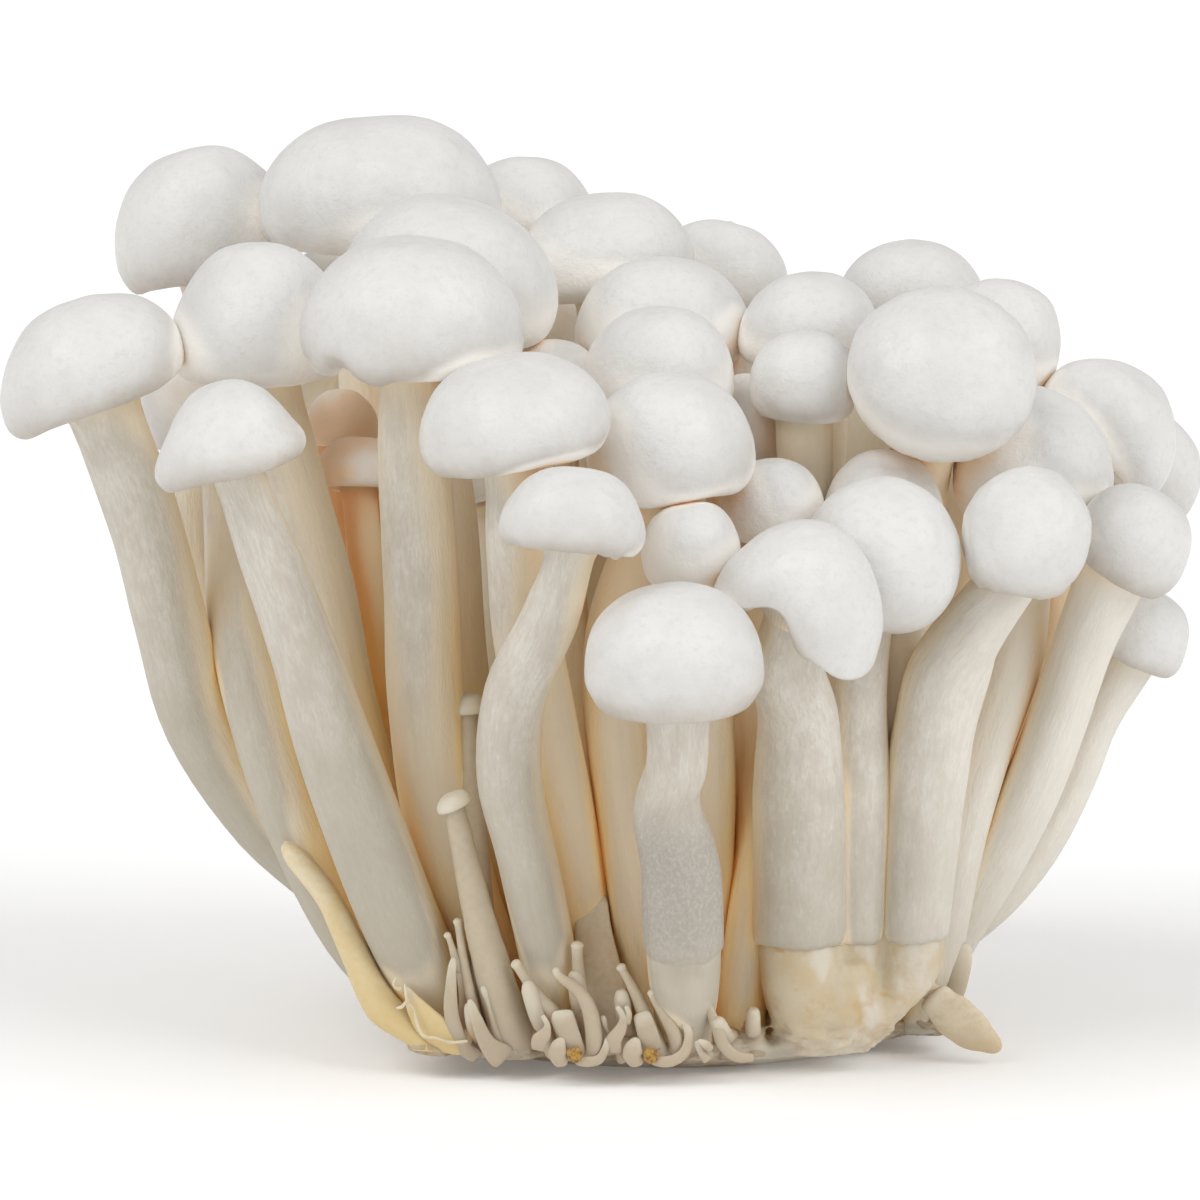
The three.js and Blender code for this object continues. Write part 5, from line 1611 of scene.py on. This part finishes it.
@dataclass
class Crumb:
    """An ochre crumb held in a curled flap.

    Attributes:
        name: Its name.
        place: Its middle, in millimetres.
        size: Half its width, depth and height, in millimetres.
    """

    name: str
    place: tuple[float, float, float]
    size: tuple[float, float, float] = (0.66, 0.5, 0.66)

    grit: float = 0.5  # size of its breaks, as a share of half its width
    rough: float = 0.22  # how deep they are
    hollow: float = 0.35  # depth of its hollow front
    hollow_edge: int = 4  # how tightly the hollow keeps to the front

    def build(self) -> bpy.types.Object:
        """Makes the piece: a ball with a hollow front and a broken surface.

        Returns:
            The piece.
        """
        bpy.ops.object.select_all(action="DESELECT")
        bpy.ops.mesh.primitive_ico_sphere_add(subdivisions=4, radius=1)
        piece = bpy.context.object
        piece.name = piece.data.name = self.name
        co = places(piece.data)
        facing = np.clip(-co[:, 1], 0, 1) ** self.hollow_edge
        push = 1 + self.rough * lumps(co, self.grit, seed_of(self.name), 3) - self.hollow * facing
        placed = (co * push[:, None] * self.size + self.place) * MM
        placed[:, 2] = np.maximum(placed[:, 2], ABOVE_CUT)
        piece.data.vertices.foreach_set("co", placed.ravel())
        piece.data.update()
        bpy.ops.object.shade_smooth()
        return piece

    def dress(self, piece: bpy.types.Object, finishes: Finishes) -> None:
        """Gives it its finish."""
        piece.data.materials.append(finishes.nugget)
        finish_piece(piece)


@dataclass
class Clump:
    """The fused base: a low mound with feet under the stems and a fluted lump at the front right.

    Attributes:
        node: Its frame node's name.
        voxel: Size of the grid that it is fused on.
        mound_top: Height of the mound.
        mound_share: Width of the mound, as a share of the frame's clump.
        rough: Height of its unevenness.
        ragged: Height of the tears along the cut.
        lift_top: Height up to which the sides rise with the rim of the cut.
        slim_foot: Feet slimmer than this reach less far up into their stems.
        lump_skin: How far the lump stands out round the stems on it.
        lump_shift: How far left of the stems and how far in front of them its foot stands.
    """

    node: str = "base_clump"
    voxel: float = 0.42 * MM
    mound_top: float = 5.2 * MM
    mound_share: float = 0.87
    rough: float = 0.3 * MM
    ragged: float = 0.35 * MM
    lift_top: float = 8 * MM
    slim_foot: float = 1.81 * MM
    lump_skin: float = 1.05 * MM
    lump_shift: tuple[float, float, float] = (-2.5 * MM, -1.1 * MM, 0)

    # Rings of the lump's flutes and of its core: height, share of the way to its middle, share of the radius.
    lump_rows: Rows = ((9.8 * MM, 0.02, 0.97), (7.6 * MM, 0.1, 0.96), (5.4 * MM, 0.28, 0.93),
                       (3.2 * MM, 0.48, 0.87), (1.2 * MM, 0.62, 0.76), (0.0, 0.68, 0.56))
    core_rows: Rows = ((5 * MM, 0.0, 1.1), (1.4 * MM, 0.0, 0.8), (0.0, 0.0, 0.5))
    lump_top: float = 0.97  # width of a flute's top ring, as a share of its radius
    core_top: float = 0.9
    core_radius: float = 4 * MM
    overlap: float = 1.6 * MM  # how far the lump reaches up into the stems on it
    pull: float = 5 * MM  # a flute this far from the middle is drawn in as the rows say
    pull_most: float = 1.15
    lump_reach: float = 7.4 * MM  # how far from its middle the lump's own colours go
    lump_edge: float = 1.6 * MM
    foot_reach: float = 1.2 * MM  # how far a foot reaches up into its stem
    slim_reach: float = 0.3 * MM  # the same for a slim one
    foot_widths: Row = (1.15, 0.9)  # a foot's width at the cut and at its top, against its stem's
    foot_sides: int = 24  # of a foot, a flute and the core
    smoothing: float = 0.6  # how strongly its joins are smoothed, each time
    smoothing_times: int = 8
    # Unevenness: size, seed and layers of broad knobs, of flat layers and of tears along the cut.
    knobs: Row = (2.6 * MM, 4.2, 4)
    layers: Row = (2.2 * MM, 7.7, 3)
    tears: Row = (0.9 * MM, 2.9, 2)
    thin: Row = (1, 1, 3.2)  # makes the layers flat
    calm_at: Row = (4 * MM, math.inf, 4 * MM)  # heights where it is calmer, and how softly that begins
    calm: float = 0.3  # how much of the knobs is left there
    tears_at: Row = (0.2 * MM, 3 * MM, 1 * MM)  # heights of the tears, and how softly they end
    rough_from: float = 0.8 * MM  # height at which it is as uneven as it gets
    flat_below: float = 0.3 * MM  # what lies lower is laid flat
    every: int = 10  # how many vertices go by between two whose depth is measured
    nearest: int = 4  # how many of those each vertex takes its depth from

    def build(self, stems: list[Body]) -> bpy.types.Object:
        """Joins the mound, the feet and the lump in one mesh.

        Args:
            stems: Shaped mushrooms and growths, whose feet stand in the clump.

        Returns:
            The finished mesh.
        """
        mound = self.mound()
        raised = [stem for stem in stems if stem.raised]
        feet = [self.foot_under(stem) for stem in stems if not stem.raised]
        feet += self.lump(raised)
        bpy.ops.object.select_all(action="DESELECT")
        for part in (*feet, mound):
            part.select_set(True)
        bpy.context.view_layer.objects.active = mound
        bpy.ops.object.join()
        for kind, settings in (("REMESH", {"mode": "VOXEL", "voxel_size": self.voxel}),
                               ("SMOOTH", {"factor": self.smoothing, "iterations": self.smoothing_times})):
            modifier = mound.modifiers.new(kind.lower(), kind)
            for key, value in settings.items():
                setattr(modifier, key, value)
            bpy.ops.object.modifier_apply(modifier=modifier.name)
        self.roughen(mound.data)
        bpy.ops.object.shade_smooth()
        return mound

    def mound(self) -> bpy.types.Object:
        """A low copy of the frame's clump, cut off above the mound and drawn in a little.

        Returns:
            The mound.
        """
        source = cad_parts[self.node].data
        mesh = source.copy()
        mesh.materials.clear()
        work = bmesh.new()
        work.from_mesh(mesh)
        bmesh.ops.remove_doubles(work, verts=work.verts, dist=WELD)
        everything = [*work.verts, *work.edges, *work.faces]
        bmesh.ops.bisect_plane(work, geom=everything, plane_co=(0, 0, self.mound_top), plane_no=(0, 0, 1),
                               clear_outer=True)
        bmesh.ops.holes_fill(work, edges=[edge for edge in work.edges if edge.is_boundary])
        centre = sum((v.co for v in work.verts), Vector()) / len(work.verts)
        for vertex in work.verts:
            vertex.co.x = centre.x + (vertex.co.x - centre.x) * self.mound_share
            vertex.co.y = centre.y + (vertex.co.y - centre.y) * self.mound_share
        work.to_mesh(mesh)
        work.free()
        mound = bpy.data.objects.new(f"{self.node}_flesh", mesh)
        mesh.name = mound.name
        bpy.context.scene.collection.objects.link(mound)
        return mound

    def foot_under(self, stem: Body) -> bpy.types.Object:
        """A cone from the cut face up into a stem's foot.

        Args:
            stem: The mushroom or growth.

        Returns:
            The cone.
        """
        x, y, z = stem.foot_centre
        height = z + (self.slim_reach if stem.foot_radius < self.slim_foot else self.foot_reach)
        lower, upper = (stem.foot_radius * width for width in self.foot_widths)
        bpy.ops.mesh.primitive_cone_add(vertices=self.foot_sides, radius1=lower, radius2=upper, depth=height,
                                        location=(x, y, height / 2))
        return bpy.context.object

    def lump(self, stems: list[Body]) -> list[bpy.types.Object]:
        """Tapered tubes under the raised stems, drawn together towards the cut face.

        Args:
            stems: The mushrooms that stand on the lump.

        Returns:
            A tube under each, and the core.
        """
        middle = np.mean([stem.foot_centre for stem in stems], axis=0) + self.lump_shift
        self.lump_middle = middle
        tubes = []
        for stem in stems:
            top = (stem.foot_centre[2] + self.overlap, 0.0, self.lump_top)
            pull = min(np.linalg.norm((stem.foot_centre - middle)[:2]) / self.pull, self.pull_most)
            rows = (top, *((height, share * pull, width) for height, share, width in self.lump_rows))
            tubes.append(self.tube(stem.foot_centre, middle, stem.foot_radius + self.lump_skin, rows))
        core_top = (stems[0].foot_centre[2] - self.overlap, 0.0, self.core_top)
        tubes.append(self.tube(middle, middle, self.core_radius, (core_top, *self.core_rows)))
        return tubes

    def tube(self, start: np.ndarray, end: np.ndarray, radius: float, rows: Rows) -> bpy.types.Object:
        """A closed tube of level rings.

        Args:
            start: Where the tube stands at its top.
            end: What it leans towards.
            radius: Its radius at the top.
            rows: For each ring its height, its share of the way to the end and its share of the radius.

        Returns:
            The tube.
        """
        bpy.ops.object.select_all(action="DESELECT")
        bpy.ops.mesh.primitive_cylinder_add(vertices=self.foot_sides, radius=1, depth=1, end_fill_type="NGON")
        piece = bpy.context.object
        work = bmesh.new()
        work.from_mesh(piece.data)
        sides = [edge for edge in work.edges if abs(edge.verts[0].co.z - edge.verts[1].co.z) > 0.5]
        bmesh.ops.subdivide_edges(work, edges=sides, cuts=len(rows) - 2)
        for vertex in work.verts:
            height, share, scale = rows[round((0.5 - vertex.co.z) * (len(rows) - 1))]
            x = start[0] + (end[0] - start[0]) * share + vertex.co.x * radius * scale
            y = start[1] + (end[1] - start[1]) * share + vertex.co.y * radius * scale
            vertex.co = (x, y, height)
        work.to_mesh(piece.data)
        work.free()
        return piece

    def roughen(self, mesh: bpy.types.Mesh) -> None:
        """Gives the sides an uneven, torn look and keeps the underside flat.

        Args:
            mesh: The clump's mesh.
        """
        co, normal = places(mesh), directions(mesh)
        low = 1 - window(co[:, 2], *self.calm_at)
        push = lumps(co, *self.knobs) * self.rough * (self.calm + low)
        push += lumps(co * self.thin, *self.layers) * self.rough * low
        push += lumps(co, *self.tears) * self.ragged * window(co[:, 2], *self.tears_at)
        co += normal * (push * np.clip(co[:, 2] / self.rough_from, 0, 1))[:, None]
        co[:, 2] = np.where(co[:, 2] < self.flat_below, 0, co[:, 2])
        co[:, 2] += cut_height(co) * np.clip(1 - co[:, 2] / self.lift_top, 0, 1)
        mesh.vertices.foreach_set("co", co.ravel())
        mesh.update()

    def dress(self, piece: bpy.types.Object, finishes: Finishes, depths: Depths) -> None:
        """Gives it its finish and puts it in its frame node's place.

        Args:
            piece: The clump.
            finishes: All finishes.
            depths: Measures how far each place is closed in.
        """
        mesh = piece.data
        co, normal = places(mesh), directions(mesh)
        pick = np.arange(0, len(co), self.every)
        tree = KDTree(len(pick))
        for i, point in enumerate(co[pick]):
            tree.insert(point, i)
        tree.balance()
        known = depths.at(co[pick], normal[pick])
        nearest = [[i for _, i, _ in tree.find_n(point, self.nearest)] for point in co]
        # How closed in each place is, for the painted shade in the clump's crevices.
        store(mesh, "closed", known[nearest].mean(axis=1))
        away = np.linalg.norm(co[:, :2] - self.lump_middle[:2], axis=1)
        lump = window(away, -math.inf, self.lump_reach, self.lump_edge)
        store(mesh, "lump", lump)
        store(mesh, "mound", 1 - lump)
        mesh.materials.append(finishes.clump)
        finish_piece(piece, self.node)


# ------------------------------------------------------------------ studio
@dataclass
class Studio:
    """A plain pale floor, soft light and the camera.

    Attributes:
        distance: How far the camera stands from the middle of the bunch.
        elevation: How far the camera looks down, in degrees.
        aim_height: Height of the point that it looks at.
        frame_width: Width of the view at that point.
        floor_radius: Radius of the floor.
        floor_white: How white it is.
        floor_glow: How much light it gives off.
        sensor: Width of the camera's sensor, in millimetres.
        light_spread: How wide each light is in the sky, in degrees.
        air: Strength of the even light from all round.
        key: The main light: degrees right of the front, degrees above the floor, and power.
        fill: The second light, given in the same way.
    """

    distance: float = 0.6
    elevation: float = 8.0
    aim_height: float = 0.0395
    frame_width: float = 0.10824
    floor_radius: float = 12.0
    floor_white: float = 0.96
    floor_glow: float = 0.1
    sensor: float = 36.0
    light_spread: float = 45.0
    air: float = 0.52
    key: tuple[float, float, float] = (-58, 44, 1.26)
    fill: tuple[float, float, float] = (58, 34, 1.2)

    def build(self) -> None:
        """Sets up the floor, the lights, the world and the camera."""
        self.add_floor()
        self.add_world()
        self.add_light("key_light", *self.key)
        self.add_light("fill_light", *self.fill)
        self.add_camera()
        bpy.context.scene.view_settings.view_transform = "Standard"

    def add_floor(self) -> None:
        """A wide pale disc under the bunch."""
        bpy.ops.object.select_all(action="DESELECT")
        bpy.ops.mesh.primitive_circle_add(vertices=64, radius=self.floor_radius, fill_type="NGON")
        floor = bpy.context.object
        floor.name = "floor"
        bench = Bench.open("floor_paint")
        shader = bench.add("ShaderNodeBsdfPrincipled")
        shader.inputs["Base Color"].default_value = (*[self.floor_white] * 3, 1)
        shader.inputs["Roughness"].default_value = 0.9
        shader.inputs["Emission Color"].default_value = (1, 1, 1, 1)
        shader.inputs["Emission Strength"].default_value = self.floor_glow
        output = bench.add("ShaderNodeOutputMaterial")
        bench.put(shader.outputs["BSDF"], output.inputs["Surface"])
        floor.data.materials.append(bench.material)

    def add_world(self) -> None:
        """Even white light from all round."""
        world = bpy.data.worlds.new("studio_air")
        world.use_nodes = True
        world.node_tree.nodes["Background"].inputs["Color"].default_value = (1, 1, 1, 1)
        world.node_tree.nodes["Background"].inputs["Strength"].default_value = self.air
        bpy.context.scene.world = world

    def add_light(self, name: str, side: float, rise: float, power: float) -> None:
        """Adds a wide soft light.

        Args:
            name: Its name.
            side: Degrees to the right of the front.
            rise: Degrees above the floor.
            power: Its strength.
        """
        across, up = math.radians(side), math.radians(rise)
        way = Vector((math.sin(across) * math.cos(up), -math.cos(across) * math.cos(up), math.sin(up)))
        bpy.ops.object.light_add(type="SUN", location=way)
        light = bpy.context.object
        light.name = name
        light.data.angle = math.radians(self.light_spread)
        light.data.energy = power
        light.rotation_euler = (-way).to_track_quat("-Z", "Y").to_euler()

    def add_camera(self) -> None:
        """The camera, level and square to the front."""
        rise = math.radians(self.elevation)
        place = Vector((0, -self.distance * math.cos(rise), self.aim_height + self.distance * math.sin(rise)))
        bpy.ops.object.camera_add(location=place)
        camera = bpy.context.object
        camera.name = "camera"
        camera.rotation_euler = (Vector((0, 0, self.aim_height)) - place).to_track_quat("-Z", "Y").to_euler()
        camera.data.sensor_width = self.sensor
        camera.data.lens = self.sensor * self.distance / self.frame_width
        bpy.context.scene.camera = camera


def small_growth(name: str, sprig: Sprig) -> Growth:
    """A growth drawn along a path: torn skin is pale, and the rest is as the pins are.

    Args:
        name: Its name.
        sprig: The path that it is drawn along.

    Returns:
        The growth, not shaped yet.
    """
    torn = name.startswith("torn_")
    finish = Flesh.SCALE if torn else Flesh.SHOOT if name.startswith("gold_") else Flesh.PIN
    return Growth(name, sprig=sprig, rough=0.04 * MM, glow=-0.6 if torn else -0.15, finish=finish)


def grow_all() -> tuple[list[Mushroom], list[Growth]]:
    """Shapes every mushroom and every growth, those of the frame first.

    Returns:
        The mushrooms and the growths.
    """
    names = sorted(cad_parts)
    mushrooms = [Mushroom(name, **TRAITS.get(name, {})) for name in names if name.startswith("mushroom_")]
    growths = [Growth(name, **HEADS.get(name, {})) for name in names if name.startswith("pin_")]
    growths += [Growth("shoot_bare", finish=Flesh.SHOOT, ridge=20.0, rough=0.03 * MM, glow=-0.3)]
    growths += [small_growth(name, sprig) for name, sprig in SPRIGS.items()]
    growths += [Growth("scale_torn", slot="scale", finish=Flesh.SCALE, reach=False)]
    for body in (*mushrooms, *growths):
        body.shape()
    return mushrooms, growths


def report(piece: bpy.types.Object) -> None:
    """Logs a finished piece and how many faces it has."""
    log.info("%s: %d faces", piece.name, len(piece.data.polygons))


def main() -> None:
    """Builds and dresses every piece, in order."""
    logging.basicConfig(level=logging.INFO, format="%(name)s: %(message)s")
    Studio().build()
    finishes = Finishes.make()
    mushrooms, growths = grow_all()
    bodies = [*mushrooms, *growths]
    clump = Clump()
    rooted = [body for body in bodies if body.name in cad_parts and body.name != "scale_torn"]
    base = clump.build(rooted)
    depths = Depths()
    depths.take_in([body.skin for body in bodies], base)
    clump.dress(base, finishes, depths)
    report(base)
    for body in bodies:
        piece = body.build(depths)
        body.dress(piece, finishes)
        report(piece)
    for number, place in enumerate(NUGGETS, start=1):
        crumb = Crumb(f"crumb_{number}", place)
        piece = crumb.build()
        crumb.dress(piece, finishes)
        report(piece)


if __name__ == "__main__":
    main()
